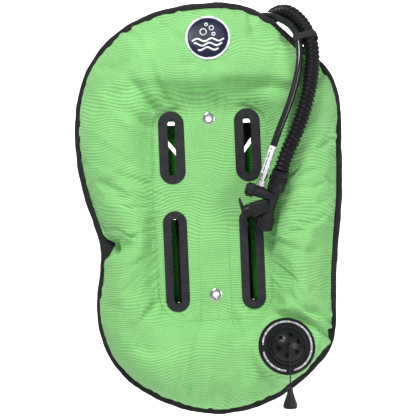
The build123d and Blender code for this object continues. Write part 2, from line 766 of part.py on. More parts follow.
elbow_base = turned(
    ELBOW,
    [(ELBOW_BORE, INNER_FACE - 2), (ELBOW_FLANGE, INNER_FACE - 2), (ELBOW_FLANGE, INNER_FACE),
     (ELBOW_NECK, INNER_FACE), (ELBOW_NECK, NECK_RISE), (ELBOW_BORE, NECK_RISE)],
)
elbow_base.label = "elbow_base"
export_step(elbow_base, "parts/elbow_base.step")

elbow_gasket = ring(ELBOW, ELBOW_NECK + 0.1, 23, -BLADDER_OUT, -WALL)
elbow_gasket.label = "elbow_gasket"
export_step(elbow_gasket, "parts/elbow_gasket.step")

with BuildPart() as elbow_nut:
    add(
        turned(
            ELBOW,
            [(ELBOW_NECK + 0.05, 0), (NUT_OUTER, 0), (NUT_OUTER, NUT_TOP - 1.5), (NUT_OUTER - 1.5, NUT_TOP),
             (ELBOW_PIPE + 0.2, NUT_TOP), (ELBOW_PIPE + 0.2, FOOT_TOP + 0.1), (18.2, FOOT_TOP + 0.1),
             (18.2, NECK_RISE), (ELBOW_NECK + 0.05, NECK_RISE)],
        )
    )
    with BuildSketch(ELBOW):
        with PolarLocations(NUT_OUTER + 1.2, 12):
            Circle(2.4)
    extrude(amount=NUT_TOP, mode=Mode.SUBTRACT)
elbow_nut.part.label = "elbow_nut"
export_step(elbow_nut.part, "parts/elbow_nut.step")

with BuildPart() as elbow_body:
    add(turned(ELBOW, [(0, NECK_RISE), (18, NECK_RISE), (18, FOOT_TOP), (ELBOW_PIPE, FOOT_TOP),
                       (ELBOW_PIPE, ELBOW_HEIGHT), (0, ELBOW_HEIGHT)]))
    with Locations(Location(ELBOW_CENTRE)):
        Sphere(ELBOW_PIPE)
    add(turned(SPIGOT, [(0, 0), (ELBOW_PIPE, 0), (ELBOW_PIPE, 24), (11.4, 26), (11.4, 28), (12, 29),
                        (12, SPIGOT_LENGTH), (0, SPIGOT_LENGTH)]))
    with BuildSketch(ELBOW):
        Circle(ELBOW_INSIDE)
    extrude(amount=ELBOW_HEIGHT, mode=Mode.SUBTRACT)
    with Locations(Location(ELBOW_CENTRE)):
        Sphere(ELBOW_INSIDE, mode=Mode.SUBTRACT)
    with BuildSketch(SPIGOT):
        Circle(ELBOW_INSIDE)
    extrude(amount=SPIGOT_LENGTH, mode=Mode.SUBTRACT)
elbow_body.part.label = "elbow_body"
export_step(elbow_body.part, "parts/elbow_body.step")

# The tie grips the first ring of the hose where it is pushed on the spigot.
HOSE_TOP = Plane(origin=HOSE_START, z_dir=SPIGOT_DIRECTION)
with BuildPart() as hose_tie:
    add(ring(HOSE_TOP, HOSE_RADIUS + 0.05, HOSE_RADIUS + 1.4, 2, 7))
    with BuildSketch(HOSE_TOP.offset(1)):
        with Locations((HOSE_RADIUS + 3.2, 0)):
            Rectangle(4.2, 5.5)
    extrude(amount=7)
hose_tie.part.label = "hose_tie"
export_step(hose_tie.part, "parts/hose_tie.step")

# ---------------------------------------------------------------- retainer round both hoses
RETAINER_SHARE = 0.46  # how far along the corrugated hose it sits
RETAINER_WIDTH = 11.0
RETAINER_WALL = 1.4
BAND = Plane(origin=hose_line @ RETAINER_SHARE, z_dir=hose_line % RETAINER_SHARE)


def crossing(line, plane):
    """Where a line crosses a plane, in the plane's own coordinates."""
    spots = [plane.to_local_coords(line @ (step / 400)) for step in range(401)]
    return min(spots, key=lambda spot: abs(spot.Z) + 0.01 * hypot(spot.X, spot.Y))


LP_CROSSING = crossing(lp_line, BAND)
print("retainer at", BAND.origin, "low-pressure hose crosses at", LP_CROSSING)
with BuildPart() as hose_retainer:
    with BuildSketch(BAND.offset(-RETAINER_WIDTH / 2)):
        Circle(HOSE_RADIUS + RETAINER_WALL)
        with Locations((LP_CROSSING.X, LP_CROSSING.Y)):
            Circle(LP_RADIUS + RETAINER_WALL)
        make_hull()
    extrude(amount=RETAINER_WIDTH)
    add(corrugated_hose, mode=Mode.SUBTRACT)
    add(lp_hose, mode=Mode.SUBTRACT)
hose_retainer.part.label = "hose_retainer"
export_step(hose_retainer.part, "parts/hose_retainer.step")

# ---------------------------------------------------------------- low-pressure hose's far fitting
HEX_ACROSS = 14.0
HEX_LENGTH = 10.0
THREAD_RADIUS = 4.76  # 3/8-24 first-stage port thread
LP_END = Vector(*LP_ROUTE[-1])
FITTING = Plane(origin=LP_END, z_dir=LP_END - Vector(*LP_ROUTE[-2]))

with BuildPart() as lp_fitting:
    add(turned(FITTING, [(2, 0), (LP_RADIUS, 0), (LP_RADIUS, 3), (2, 3)]))
    with BuildSketch(FITTING.offset(3)):
        RegularPolygon(HEX_ACROSS / 2, 6, major_radius=False)
        Circle(2, mode=Mode.SUBTRACT)
    extrude(amount=HEX_LENGTH)
    add(turned(FITTING, [(2, 13), (6.5, 13), (6.5, 14), (3.9, 14), (3.9, 16.2), (THREAD_RADIUS, 16.2),
                         (THREAD_RADIUS, 22), (THREAD_RADIUS - 0.7, 23), (2, 23)]))
lp_fitting.part.label = "lp_fitting"
export_step(lp_fitting.part, "parts/lp_fitting.step")

lp_o_ring = ring(FITTING, 3.95, 5.6, 14.1, 15.9)
lp_o_ring.label = "lp_o_ring"
export_step(lp_o_ring, "parts/lp_o_ring.step")

# ---------------------------------------------------------------- power inflator
# Its own frame: z down its body from the cuff's lower end, x out along the side barrel.
HOSE_END = Vector(*HOSE_ROUTE[-1])
DOWN = (HOSE_END - Vector(*HOSE_ROUTE[-2])).normalized()
ASIDE = Vector(DOWN.Z, 0, -DOWN.X).normalized()
CUFF_LENGTH = 33.0
INFLATOR = Plane(origin=HOSE_END + DOWN * CUFF_LENGTH, x_dir=ASIDE, z_dir=DOWN)
BARREL = Plane(origin=INFLATOR.origin + DOWN * 10, x_dir=DOWN, z_dir=ASIDE)
MOUTH_TURN = radians(33.5)
MOUTH_DIRECTION = ASIDE * cos(MOUTH_TURN) + DOWN * sin(MOUTH_TURN)
MOUTH_ACROSS = DOWN * cos(MOUTH_TURN) - ASIDE * sin(MOUTH_TURN)
MOUTH = Plane(origin=INFLATOR.origin + DOWN * 23.5, x_dir=MOUTH_ACROSS, z_dir=MOUTH_DIRECTION)
LP_START = Vector(*LP_ROUTE[0])
COUPLER = Plane(origin=LP_START, z_dir=LP_START - Vector(*LP_ROUTE[1]))

BODY_PIPE = 8.0
BODY_BORE = 5.5
BARB = 9.6
BARB_LENGTH = 24.0
BLOCK_TOP = 47.0
BLOCK_END = 64.0
BLOCK_RADIUS = 13.4
BARREL_RADIUS = 8.5
BARREL_BORE = 5.2
COLLAR_RADIUS = 11.0
COLLAR_START = 32.0
COLLAR_END = 43.0
NIPPLE_FOOT = 15.2
DUCT_END = 33.0
MOUTH_NECK = 8.0
MOUTH_BORE = 6.5
SPOUT_END = 41.0

with BuildPart() as inflator_body:
    add(turned(INFLATOR, [(0, -BARB_LENGTH), (BARB, -BARB_LENGTH), (BARB, 0), (BODY_PIPE + 1, 0.6),
                          (BODY_PIPE, 3), (BODY_PIPE, 38), (11, BLOCK_TOP), (0, BLOCK_TOP)]))
    with BuildSketch(INFLATOR.offset(BLOCK_TOP)):
        RegularPolygon(BLOCK_RADIUS, 8, rotation=22.5)
    extrude(amount=BLOCK_END - BLOCK_TOP)
    add(turned(BARREL, [(0, 0), (BARREL_RADIUS, 0), (BARREL_RADIUS, COLLAR_START - 1.5),
                        (COLLAR_RADIUS, COLLAR_START), (COLLAR_RADIUS, COLLAR_END - 1.2),
                        (COLLAR_RADIUS - 1.2, COLLAR_END), (0, COLLAR_END)]))
    add(turned(COUPLER, [(0, NIPPLE_FOOT), (6, NIPPLE_FOOT), (6, 24), (0, 24)]))
    with BuildSketch(MOUTH.offset(4)):
        RectangleRounded(21, 17, 3)
    extrude(amount=DUCT_END - 4)
    with BuildSketch(MOUTH.offset(DUCT_END)):
        Circle(MOUTH_NECK)
    extrude(amount=SPOUT_END - DUCT_END)
    add(turned(INFLATOR, [(0, -BARB_LENGTH), (BODY_BORE, -BARB_LENGTH), (BODY_BORE, 45.5), (3.6, 45.5),
                          (3.6, 48), (6.4, 48), (6.4, 54.4), (9.8, 54.4), (9.8, BLOCK_END), (0, BLOCK_END)]),
        mode=Mode.SUBTRACT)
    add(turned(BARREL, [(0, 4), (BARREL_BORE, 4), (BARREL_BORE, 37), (8.6, 37), (8.6, COLLAR_END),
                        (0, COLLAR_END)]), mode=Mode.SUBTRACT)
    add(turned(COUPLER, [(0, NIPPLE_FOOT), (3.7, NIPPLE_FOOT), (3.7, 20.5), (2, 20.5), (2, 25), (0, 25)]),
        mode=Mode.SUBTRACT)
    add(turned(MOUTH, [(0, 0), (MOUTH_BORE, 0), (MOUTH_BORE, SPOUT_END), (0, SPOUT_END)]), mode=Mode.SUBTRACT)
inflator_body.part.label = "inflator_body"
export_step(inflator_body.part, "parts/inflator_body.step")

hose_cuff = turned(
    INFLATOR,
    [(BARB + 0.05, 0), (13.4, 0), (13.8, -1.5), (13.8, -9), (13.2, -11), (13.2, -28), (12.4, -CUFF_LENGTH),
     (8, -CUFF_LENGTH), (8, -BARB_LENGTH), (BARB + 0.05, -BARB_LENGTH)],
)
hose_cuff.label = "hose_cuff"
export_step(hose_cuff, "parts/hose_cuff.step")

with BuildPart() as cuff_clip:
    add(ring(INFLATOR, 13.25, 14.6, -22, -15))
    with BuildSketch(INFLATOR.offset(-22)):
        with PolarLocations(14.8, 3, start_angle=-150, angular_range=60):
            Rectangle(1.6, 3.2)
    extrude(amount=7)
cuff_clip.part.label = "cuff_clip"
export_step(cuff_clip.part, "parts/cuff_clip.step")

INFLATE_TRAVEL = 3.0
inflate_button = turned(
    BARREL,
    [(0, 12.6), (4.4, 12.6), (4.4, 14.8), (2.2, 14.8), (2.2, 41.2), (8.2, 41.2), (8.2, 44.6), (7.2, 45.6),
     (0, 45.0)],
)
inflate_button.label = "inflate_button"
export_step(inflate_button, "parts/inflate_button.step")

with BuildPart() as inflate_valve_rings:
    add(ring(BARREL, 2.8, BARREL_BORE - 0.05, 15, 18))
    add(ring(BARREL, 2.5, BARREL_BORE - 0.05, 30, 34))
inflate_valve_rings.part.label = "inflate_valve_rings"
export_step(inflate_valve_rings.part, "parts/inflate_valve_rings.step")

inflate_spring = ring(BARREL, 3.2, 4.8, 34, 41.2 - INFLATE_TRAVEL - 0.1)
inflate_spring.label = "inflate_spring"
export_step(inflate_spring, "parts/inflate_spring.step")

DEFLATE_TRAVEL = 3.5
deflate_button = turned(
    INFLATOR,
    [(0, 43.0), (4.8, 43.0), (4.8, 44.2), (2, 44.2), (2, 58), (9.4, 58), (9.4, 65.6), (7.8, 67.2), (0, 67.6)],
)
deflate_button.label = "deflate_button"
export_step(deflate_button, "parts/deflate_button.step")

deflate_seal = ring(INFLATOR, 2.1, 4.8, 44.2, 45.3)
deflate_seal.label = "deflate_seal"
export_step(deflate_seal, "parts/deflate_seal.step")

deflate_spring = ring(INFLATOR, 3.4, 5.8, 48, 58 - DEFLATE_TRAVEL - 0.1)
deflate_spring.label = "deflate_spring"
export_step(deflate_spring, "parts/deflate_spring.step")

with BuildPart() as mouthpiece:
    add(ring(MOUTH, MOUTH_NECK, 10, DUCT_END, 44))
    with BuildSketch(MOUTH.offset(43.5)):
        Ellipse(23.5, 13)
        SlotOverall(26, 10, mode=Mode.SUBTRACT)
    extrude(amount=3)
    fillet(mouthpiece.faces().sort_by(Axis(MOUTH.origin, MOUTH.z_dir))[-1].outer_wire().edges(), 1.2)
mouthpiece.part.label = "mouthpiece"
export_step(mouthpiece.part, "parts/mouthpiece.step")

mouthpiece_tie = ring(MOUTH, 10.05, 11.2, 35.5, 38.5)
mouthpiece_tie.label = "mouthpiece_tie"
export_step(mouthpiece_tie, "parts/mouthpiece_tie.step")

# Quick-release coupler on the low-pressure hose, and the nipple that it snaps onto
coupler_body = turned(
    COUPLER,
    [(2.1, 0), (6.4, 0), (6.4, 1.4), (5, 2.2), (5, 13.5), (3.7, 13.5), (3.7, 4.5), (2.1, 4.5)],
)
coupler_body.label = "coupler_body"
export_step(coupler_body, "parts/coupler_body.step")

SLEEVE_TRAVEL = 3.2
SLEEVE_START = 5.6
SLEEVE_END = 14.4
with BuildPart() as coupler_sleeve:
    add(ring(COUPLER, 5.3, 7.6, SLEEVE_START, SLEEVE_END))
    with BuildSketch(COUPLER.offset(SLEEVE_START)):
        with PolarLocations(8.0, 16):
            Circle(0.8)
    extrude(amount=SLEEVE_END - SLEEVE_START, mode=Mode.SUBTRACT)
coupler_sleeve.part.label = "coupler_sleeve"
export_step(coupler_sleeve.part, "parts/coupler_sleeve.step")

with BuildPart() as lp_ferrules:
    add(ring(COUPLER, LP_RADIUS, LP_RADIUS + 1.0, -6, 0))
    add(ring(FITTING, LP_RADIUS, LP_RADIUS + 1.5, -20, 0))
lp_ferrules.part.label = "lp_ferrules"
export_step(lp_ferrules.part, "parts/lp_ferrules.step")

coupler_nipple = turned(
    COUPLER,
    [(1.6, 5), (3.0, 5), (3.6, 6), (3.6, 8.5), (3.0, 9), (3.0, 10.5), (3.6, 11), (3.6, 13.8), (5, 13.8),
     (5, NIPPLE_FOOT), (3.6, NIPPLE_FOOT), (3.6, 20.4), (1.6, 20.4)],
)
coupler_nipple.label = "coupler_nipple"
export_step(coupler_nipple, "parts/coupler_nipple.step")
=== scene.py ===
import json
from math import atan2, cos, hypot, pi, radians, sin

import bpy
import numpy as np
from mathutils import Matrix, Vector
from mathutils.bvhtree import BVHTree


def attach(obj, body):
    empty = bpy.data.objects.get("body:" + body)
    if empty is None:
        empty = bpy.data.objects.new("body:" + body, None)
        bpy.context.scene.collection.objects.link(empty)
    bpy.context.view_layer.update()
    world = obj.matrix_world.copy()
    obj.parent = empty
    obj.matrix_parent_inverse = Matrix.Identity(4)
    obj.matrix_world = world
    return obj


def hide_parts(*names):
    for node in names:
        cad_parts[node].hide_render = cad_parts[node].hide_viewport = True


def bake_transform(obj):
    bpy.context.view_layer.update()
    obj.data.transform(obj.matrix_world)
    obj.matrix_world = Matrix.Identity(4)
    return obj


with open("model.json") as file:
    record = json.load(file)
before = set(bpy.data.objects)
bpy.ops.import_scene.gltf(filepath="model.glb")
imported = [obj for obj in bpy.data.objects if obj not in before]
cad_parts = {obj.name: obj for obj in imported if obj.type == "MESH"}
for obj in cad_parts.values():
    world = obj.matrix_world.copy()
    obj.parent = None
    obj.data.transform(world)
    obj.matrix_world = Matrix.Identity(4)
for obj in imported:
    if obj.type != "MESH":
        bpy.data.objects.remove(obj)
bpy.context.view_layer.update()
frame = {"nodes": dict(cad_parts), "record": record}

NODES = frame["nodes"]
SCENE = bpy.context.scene
MM = 0.001

# ---------------------------------------------------------------- the design's sizes, in millimetres
BOLT_SPACING = 279.4
SEAM_Y = 18.0
CROWN_RISE = 54.0
PANEL_RISE = 16.5
PANEL_HALF_X = 96.0
PANEL_HALF_Z = 176.8
PANEL_Z = -4.2
PANEL_POWER = 6.0
BINDING_WIDTH = 9.5
CLOTH_THICK = 1.2
SLOT_X = 60.3
SLOTS = [(side * SLOT_X, z, half) for z, half in ((96.2, 38.5), (-84.4, 61.3)) for side in (-1, 1)]
GROMMETS = [(0, BOLT_SPACING / 2), (0, -BOLT_SPACING / 2)]
BADGE = (4.0, 265.0)
BADGE_RADIUS = 35.5
DUMP_ORIGIN = Vector((107.5, -28.0, -223.0))
DUMP_NORMAL = Vector((0.12182, -0.96675, 0.22487)).normalized()
DUMP_SEAT = 46.0
ELBOW_ORIGIN = Vector((88.0, 70.0, 212.0))
ELBOW_SEAT = 30.0
ZIP_X = -87.5
ZIP_BOTTOM = -122.0
ZIP_TOP = 112.0
PULL_ROOM = 30.0  # the zip's pull hangs this far below its slider
SPINE_LINE_X = 24.0

EDGE = [
    (0, 326),
    (60, 320),
    (113, 290),
    (156, 249),
    (193, 213),
    (210, 165),
    (211, 110),
    (207, 0),
    (196, -90),
    (191, -170),
    (182, -228),
    (150, -268),
    (105, -302),
    (0, -331),
    (-105, -301),
    (-156, -261),
    (-185, -205),
    (-189, -130),
    (-181, -66),
    (-200, 10),
    (-214, 90),
    (-213, 150),
    (-192, 225),
    (-154, 274),
    (-80, 314),
]

# ---------------------------------------------------------------- camera
CAMERA_DISTANCE = 2.2
CAMERA_ROLL = radians(-2.4)
camera_data = bpy.data.cameras.new("camera")
camera_data.lens = 120.1
camera_data.sensor_width = 36.0
camera = bpy.data.objects.new("camera", camera_data)
camera.matrix_world = (
    Matrix.Translation((-0.0069, -CAMERA_DISTANCE, -0.0016))
    @ Matrix.Rotation(radians(90), 4, "X")
    @ Matrix.Rotation(CAMERA_ROLL, 4, "Z")
)
SCENE.collection.objects.link(camera)
SCENE.camera = camera


# ---------------------------------------------------------------- materials
def node_material(name, colour, roughness, **values):
    """A principled material; values are set on the shader's own sockets."""
    material = bpy.data.materials.new(name)
    material.use_nodes = True
    shader = material.node_tree.nodes["Principled BSDF"]
    shader.inputs["Base Color"].default_value = (*colour, 1)
    shader.inputs["Roughness"].default_value = roughness
    for socket, value in values.items():
        shader.inputs[socket.replace("_", " ")].default_value = value
    return material


def new_node(material, kind, **inputs):
    node = material.node_tree.nodes.new(kind)
    for socket, value in inputs.items():
        node.inputs[socket].default_value = value
    return node


def place(material):
    return new_node(material, "ShaderNodeTexCoord").outputs["Object"]


def noise(material, size, detail=3.0, stretch=(1, 1, 1)):
    """Noise whose blobs are about size metres across."""
    mapping = new_node(material, "ShaderNodeMapping", Scale=stretch)
    texture = new_node(material, "ShaderNodeTexNoise", Scale=1 / size, Detail=detail)
    material.node_tree.links.new(place(material), mapping.inputs["Vector"])
    material.node_tree.links.new(mapping.outputs["Vector"], texture.inputs["Vector"])
    return texture.outputs["Fac"]


def waves(material, pitch, direction, distortion=0.0, drift=0.0):
    """Ribs, pitch metres apart across the given direction, that wander by about drift metres."""
    mapping = new_node(material, "ShaderNodeVectorMath")
    mapping.operation = "MULTIPLY_ADD"
    mapping.inputs[1].default_value = (drift, drift, drift)
    sway = new_node(material, "ShaderNodeTexNoise", Scale=11.0, Detail=1.0)
    material.node_tree.links.new(place(material), sway.inputs["Vector"])
    material.node_tree.links.new(sway.outputs["Color"], mapping.inputs[0])
    texture = new_node(material, "ShaderNodeTexWave", Scale=2 * pi / (20 * pitch), Distortion=distortion)
    texture.bands_direction = direction
    texture.inputs["Detail Scale"].default_value = 1.5
    material.node_tree.links.new(place(material), mapping.inputs[2])
    material.node_tree.links.new(mapping.outputs["Vector"], texture.inputs["Vector"])
    return texture.outputs["Fac"]


def blended(material, a, b, share):
    """a and b mixed as numbers; share is a number or an output."""
    mix = material.node_tree.nodes.new("ShaderNodeMix")
    mix.data_type = "FLOAT"
    for socket, value in (("Factor", share), ("A", a), ("B", b)):
        if isinstance(value, (int, float)):
            mix.inputs[socket].default_value = value
        else:
            material.node_tree.links.new(value, mix.inputs[socket])
    return mix.outputs["Result"]


def tint(material, dark, light, pattern, low=0.3, high=0.7):
    """The base colour runs from dark to light with the pattern."""
    ramp = material.node_tree.nodes.new("ShaderNodeValToRGB")
    ramp.color_ramp.elements[0].position = low
    ramp.color_ramp.elements[0].color = (*dark, 1)
    ramp.color_ramp.elements[1].position = high
    ramp.color_ramp.elements[1].color = (*light, 1)
    material.node_tree.links.new(pattern, ramp.inputs["Fac"])
    shader = material.node_tree.nodes["Principled BSDF"]
    material.node_tree.links.new(ramp.outputs["Color"], shader.inputs["Base Color"])


def gloss(material, low, high, pattern):
    """Roughness runs from low to high with the pattern."""
    limits = new_node(material, "ShaderNodeMapRange")
    limits.inputs["To Min"].default_value = low
    limits.inputs["To Max"].default_value = high
    material.node_tree.links.new(pattern, limits.inputs["Value"])
    shader = material.node_tree.nodes["Principled BSDF"]
    material.node_tree.links.new(limits.outputs["Result"], shader.inputs["Roughness"])


def bump(material, pattern, depth, strength=1.0):
    """Relief of depth metres from the pattern."""
    relief = new_node(material, "ShaderNodeBump", Distance=depth, Strength=strength)
    material.node_tree.links.new(pattern, relief.inputs["Height"])
    shader = material.node_tree.nodes["Principled BSDF"]
    material.node_tree.links.new(relief.outputs["Normal"], shader.inputs["Normal"])


def shade(colour, factor):
    return tuple(min(1.0, part * factor) for part in colour)


def cloth_material(name, colour, rib=0.0041, depth=0.0008, sheen=0.08):
    """Coated nylon with level ribs, finer cross threads and slightly uneven dye."""
    material = node_material(name, colour, 0.72, Sheen_Weight=sheen, Sheen_Roughness=0.5)
    ribs = waves(material, rib, "Z", 0.35, 0.05)
    threads = waves(material, rib * 0.45, "X", 0.3)
    uneven = noise(material, 0.06, 4)
    weave = blended(material, ribs, threads, 0.32)
    bump(material, weave, depth)
    tint(material, shade(colour, 0.7), shade(colour, 1.12), blended(material, weave, uneven, 0.45), 0.22, 0.75)
    gloss(material, 0.62, 0.85, uneven)
    return material


def tape_material(name, colour, rib=0.0012):
    """Woven narrow tape: fine diagonal ribs."""
    material = node_material(name, colour, 0.8, Sheen_Weight=0.06, Sheen_Roughness=0.5)
    ribs = waves(material, rib, "DIAGONAL", 0.3)
    bump(material, ribs, 0.0003)
    tint(material, shade(colour, 0.5), shade(colour, 1.7), blended(material, ribs, noise(material, 0.02), 0.5))
    gloss(material, 0.7, 0.9, noise(material, 0.01))
    return material


def plastic_material(name, colour, roughness, grain=0.0009, depth=0.00005, coat=0.0):
    """Moulded plastic or rubber: fine grain, scuffed gloss and slight colour drift."""
    material = node_material(name, colour, roughness, Coat_Weight=coat, Coat_Roughness=0.2, Specular_IOR_Level=0.2)
    bump(material, noise(material, grain, 2), depth)
    tint(material, shade(colour, 0.75), shade(colour, 1.35), noise(material, 0.012, 5))
    gloss(material, roughness * 0.82, min(1.0, roughness * 1.2), noise(material, 0.006, 5))
    return material


def metal_material(name, colour, roughness, brush=0.0004):
    """Metal with fine brushing and a little tarnish."""
    material = node_material(name, colour, roughness, Metallic=1.0)
    bump(material, noise(material, brush, 2, (1, 1, 9)), 0.00002)
    tint(material, shade(colour, 0.8), shade(colour, 1.1), noise(material, 0.008, 5))
    gloss(material, roughness * 0.7, roughness * 1.5, noise(material, 0.003, 4))
    return material


GREEN = (0.25, 0.61, 0.2)
BLACK = (0.007, 0.007, 0.008)
CHARCOAL = (0.014, 0.014, 0.016)
MATERIALS = {
    "cell_cloth": cloth_material("cell_cloth", GREEN),
    # flap_cloth is the cell's green cloth painted much darker: painted shade for the deep recess inside the slots
    "flap_cloth": cloth_material("flap_cloth", (0.02, 0.3, 0.02)),
    "edge_tape": tape_material("edge_tape", BLACK),
    "webbing": tape_material("webbing", BLACK, 0.0022),
    "thread_green": tape_material("thread_green", shade(GREEN, 0.6), 0.0008),
    "thread_black": tape_material("thread_black", (0.02, 0.02, 0.02), 0.0008),
    "bladder_film": plastic_material("bladder_film", (0.5, 0.53, 0.55), 0.35, 0.002, 0.0001),
    "frame_plastic": plastic_material("frame_plastic", (0.022, 0.022, 0.025), 0.5, 0.0012, 0.00012),
    "valve_plastic": plastic_material("valve_plastic", (0.008, 0.008, 0.009), 0.34, 0.0007, 0.00004, 0.15),
    "inflator_plastic": plastic_material("inflator_plastic", CHARCOAL, 0.55, 0.0006, 0.00008),
    "button_plastic": plastic_material("button_plastic", (0.018, 0.018, 0.02), 0.5),
    "grommet_steel": metal_material("grommet_steel", (0.78, 0.78, 0.77), 0.18),
    "plated_brass": metal_material("plated_brass", (0.75, 0.75, 0.74), 0.15),
    "spring_steel": metal_material("spring_steel", (0.55, 0.55, 0.55), 0.3),
    "seal_rubber": plastic_material("seal_rubber", (0.02, 0.02, 0.02), 0.7),
    "hose_rubber": plastic_material("hose_rubber", (0.006, 0.006, 0.007), 0.36, 0.001, 0.00005),
    "lp_rubber": plastic_material("lp_rubber", (0.014, 0.014, 0.015), 0.22, 0.0012, 0.00003, 0.5),
    "mouth_rubber": plastic_material("mouth_rubber", (0.017, 0.017, 0.018), 0.55, 0.0008),
    "cord_nylon": tape_material("cord_nylon", BLACK, 0.0009),
    "knob_plastic": plastic_material("knob_plastic", (0.015, 0.015, 0.016), 0.32, 0.0009, 0.00004, 0.2),
    "badge_film": plastic_material("badge_film", (0.008, 0.012, 0.035), 0.4, 0.0005, 0.00003),
    "badge_rim": plastic_material("badge_rim", (0.66, 0.69, 0.7), 0.35, 0.0006, 0.00003),
    "mark_white": plastic_material("mark_white", (0.72, 0.74, 0.74), 0.5, 0.0006, 0.00002),
    "zip_tape": tape_material("zip_tape", BLACK),
    "zip_plastic": plastic_material("zip_plastic", (0.02, 0.02, 0.021), 0.45),
    "zip_metal": plastic_material("zip_metal", (0.025, 0.025, 0.026), 0.35, 0.001, 0.00003, 0.3),
}

for entry in frame["record"]["subparts"]:
    node = NODES[entry["node"]]
    node.data.materials.clear()
    node.data.materials.append(MATERIALS[entry["material_slot"]])
    node.data.polygons.foreach_set("use_smooth", [True] * len(node.data.polygons))
    node.data.set_sharp_from_angle(angle=radians(28))


def piece(name, points, faces, material, body="root", smooth=True):
    """A mesh object from points in millimetres, riding on a body unless that is None."""
    mesh = bpy.data.meshes.new(name)
    mesh.from_pydata([tuple(p) for p in np.array(points, float) * MM], [], faces)
    mesh.materials.append(MATERIALS[material])
    mesh.polygons.foreach_set("use_smooth", [smooth] * len(mesh.polygons))
    mesh.update()
    obj = bpy.data.objects.new(name, mesh)
    SCENE.collection.objects.link(obj)
    if body:
        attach(obj, body)
    return obj


def grid_faces(rows, columns, wrap=True, start=0, flip=False):
    """Quads of a grid of points stored row by row; wrap joins the last column to the first."""
    faces = []
    for row in range(rows - 1):
        for column in range(columns if wrap else columns - 1):
            following = (column + 1) % columns
            quad = [
                start + row * columns + column,
                start + row * columns + following,
                start + (row + 1) * columns + following,
                start + (row + 1) * columns + column,
            ]
            faces.append(quad[::-1] if flip else quad)
    return faces


# ---------------------------------------------------------------- cords and hoses
HOSE_RADIUS = 12.0
HOSE_ROUTE = [
    (95, 95, 246),
    (99.2, 95, 266.4),
    (103, 81, 295),
    (113, 46, 309),
    (135, 15, 308),
    (156, -5, 283),
    (166, -20, 253),
    (166.5, -32, 221),
    (161, -43.5, 189),
    (151, -51, 151),
    (134, -54, 108),
    (116.1, -52.7, 74.3),
    (108.9, -46.5, 52.3),
]
LP_RADIUS = 5.5
LP_ROUTE = [
    (81.0, -42.1, 44.1),
    (87.0, -47.3, 62.5),
    (97.5, -49, 88),
    (109, -50, 117),
    (123, -48.5, 148),
    (131.5, -46.5, 170),
    (138, -43.5, 190),
    (144, -40, 214),
    (147, -33, 239),
    (145, -22, 263),
    (136.5, -7, 281),
    (122, 9, 294),
    (107, 25, 302),
    (91, 38, 305),
    (75, 51, 300),
    (60, 66, 287),
    (46, 79, 266),
    (37, 84.5, 241),
    (32, 85, 214),
    (29.5, 82, 186),
    (28, 79, 158),
    (27.5, 77, 132),
]
CORD_RADIUS = 1.0
CORD_ROUTE = [
    (109.2, -41.5, -219.9),
    (110.5, -51.7, -217.5),
    (111.0, -57.0, -224.0),
    (108.5, -57.2, -284.2),
]


def route_curve(name, route):
    """A NURBS curve with the route's points as its control points."""
    data = bpy.data.curves.new(name, "CURVE")
    data.dimensions = "3D"
    data.resolution_u = 24
    spline = data.splines.new("NURBS")
    spline.points.add(len(route) - 1)
    for point, (x, y, z) in zip(spline.points, route):
        point.co = (x * MM, y * MM, z * MM, 1)
    spline.order_u = 3
    spline.use_endpoint_u = True
    return data


def route_line(route):
    """Points in millimetres along the route's NURBS curve, with their distances along it."""
    data = route_curve("route", route)
    holder = bpy.data.objects.new("route", data)
    mesh = bpy.data.meshes.new_from_object(holder)
    points = np.array([vertex.co for vertex in mesh.vertices]) / MM
    bpy.data.objects.remove(holder)
    bpy.data.meshes.remove(mesh)
    bpy.data.curves.remove(data)
    along = np.concatenate([[0], np.cumsum(np.linalg.norm(np.diff(points, axis=0), axis=1))])
    return points, along


def at_distance(line, distances):
    """Points, directions and two side vectors at distances along a line."""
    points, along = line
    step = 0.5
    spots = np.stack([np.interp(distances, along, points[:, k]) for k in range(3)], 1)
    ahead = np.stack([np.interp(distances + step, along, points[:, k]) for k in range(3)], 1)
    behind = np.stack([np.interp(distances - step, along, points[:, k]) for k in range(3)], 1)
    heading = ahead - behind
    heading /= np.linalg.norm(heading, axis=1)[:, None]
    side = np.cross(heading[0], (0.3, 0.9, 0.2))
    sides = []
    for direction in heading:
        side = side - direction * np.dot(side, direction)
        side = side / np.linalg.norm(side)
        sides.append(side)
    sides = np.array(sides)
    return spots, heading, sides, np.cross(heading, sides)


def tube_points(line, distances, radii, around):
    """Rings of points round a line, one ring for each distance and radius."""
    spots, heading, sides, others = at_distance(line, np.array(distances, float))
    turns = np.arange(around) * 2 * pi / around
    rings = []
    for spot, side, other, radius in zip(spots, sides, others, radii):
        rings.append(spot + radius * (np.cos(turns)[:, None] * side + np.sin(turns)[:, None] * other))
    return np.concatenate(rings)


def capped_tube(rings, around):
    """Faces of a closed tube of rings, with flat ends."""
    faces = grid_faces(rings, around, flip=True)
    faces.append(list(range(around)))
    faces.append(list(range((rings - 1) * around, rings * around))[::-1])
    return faces


HOSE_LINE = route_line(HOSE_ROUTE)
LP_LINE = route_line(LP_ROUTE)
CORD_LINE = route_line(CORD_ROUTE)
HOSE_PITCH = 7.2
HOSE_VALLEY = 9.2
RIB_STEPS = 8


def corrugated_hose():
    """The oral inflation hose: round crests with narrower valleys."""
    total = HOSE_LINE[1][-1]
    ribs = round(total / HOSE_PITCH)
    count = ribs * RIB_STEPS + 1
    distances = np.linspace(0, total, count)
    phase = np.arange(count) * 2 * pi / RIB_STEPS
    crest = 0.5 + 0.5 * np.cos(phase + pi)
    radii = HOSE_VALLEY + (HOSE_RADIUS - HOSE_VALLEY) * crest**0.8
    around = 36
    points = tube_points(HOSE_LINE, distances, radii, around)
    obj = piece("breathing_hose", points, capped_tube(count, around), "hose_rubber")
    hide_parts("corrugated_hose")
    return obj


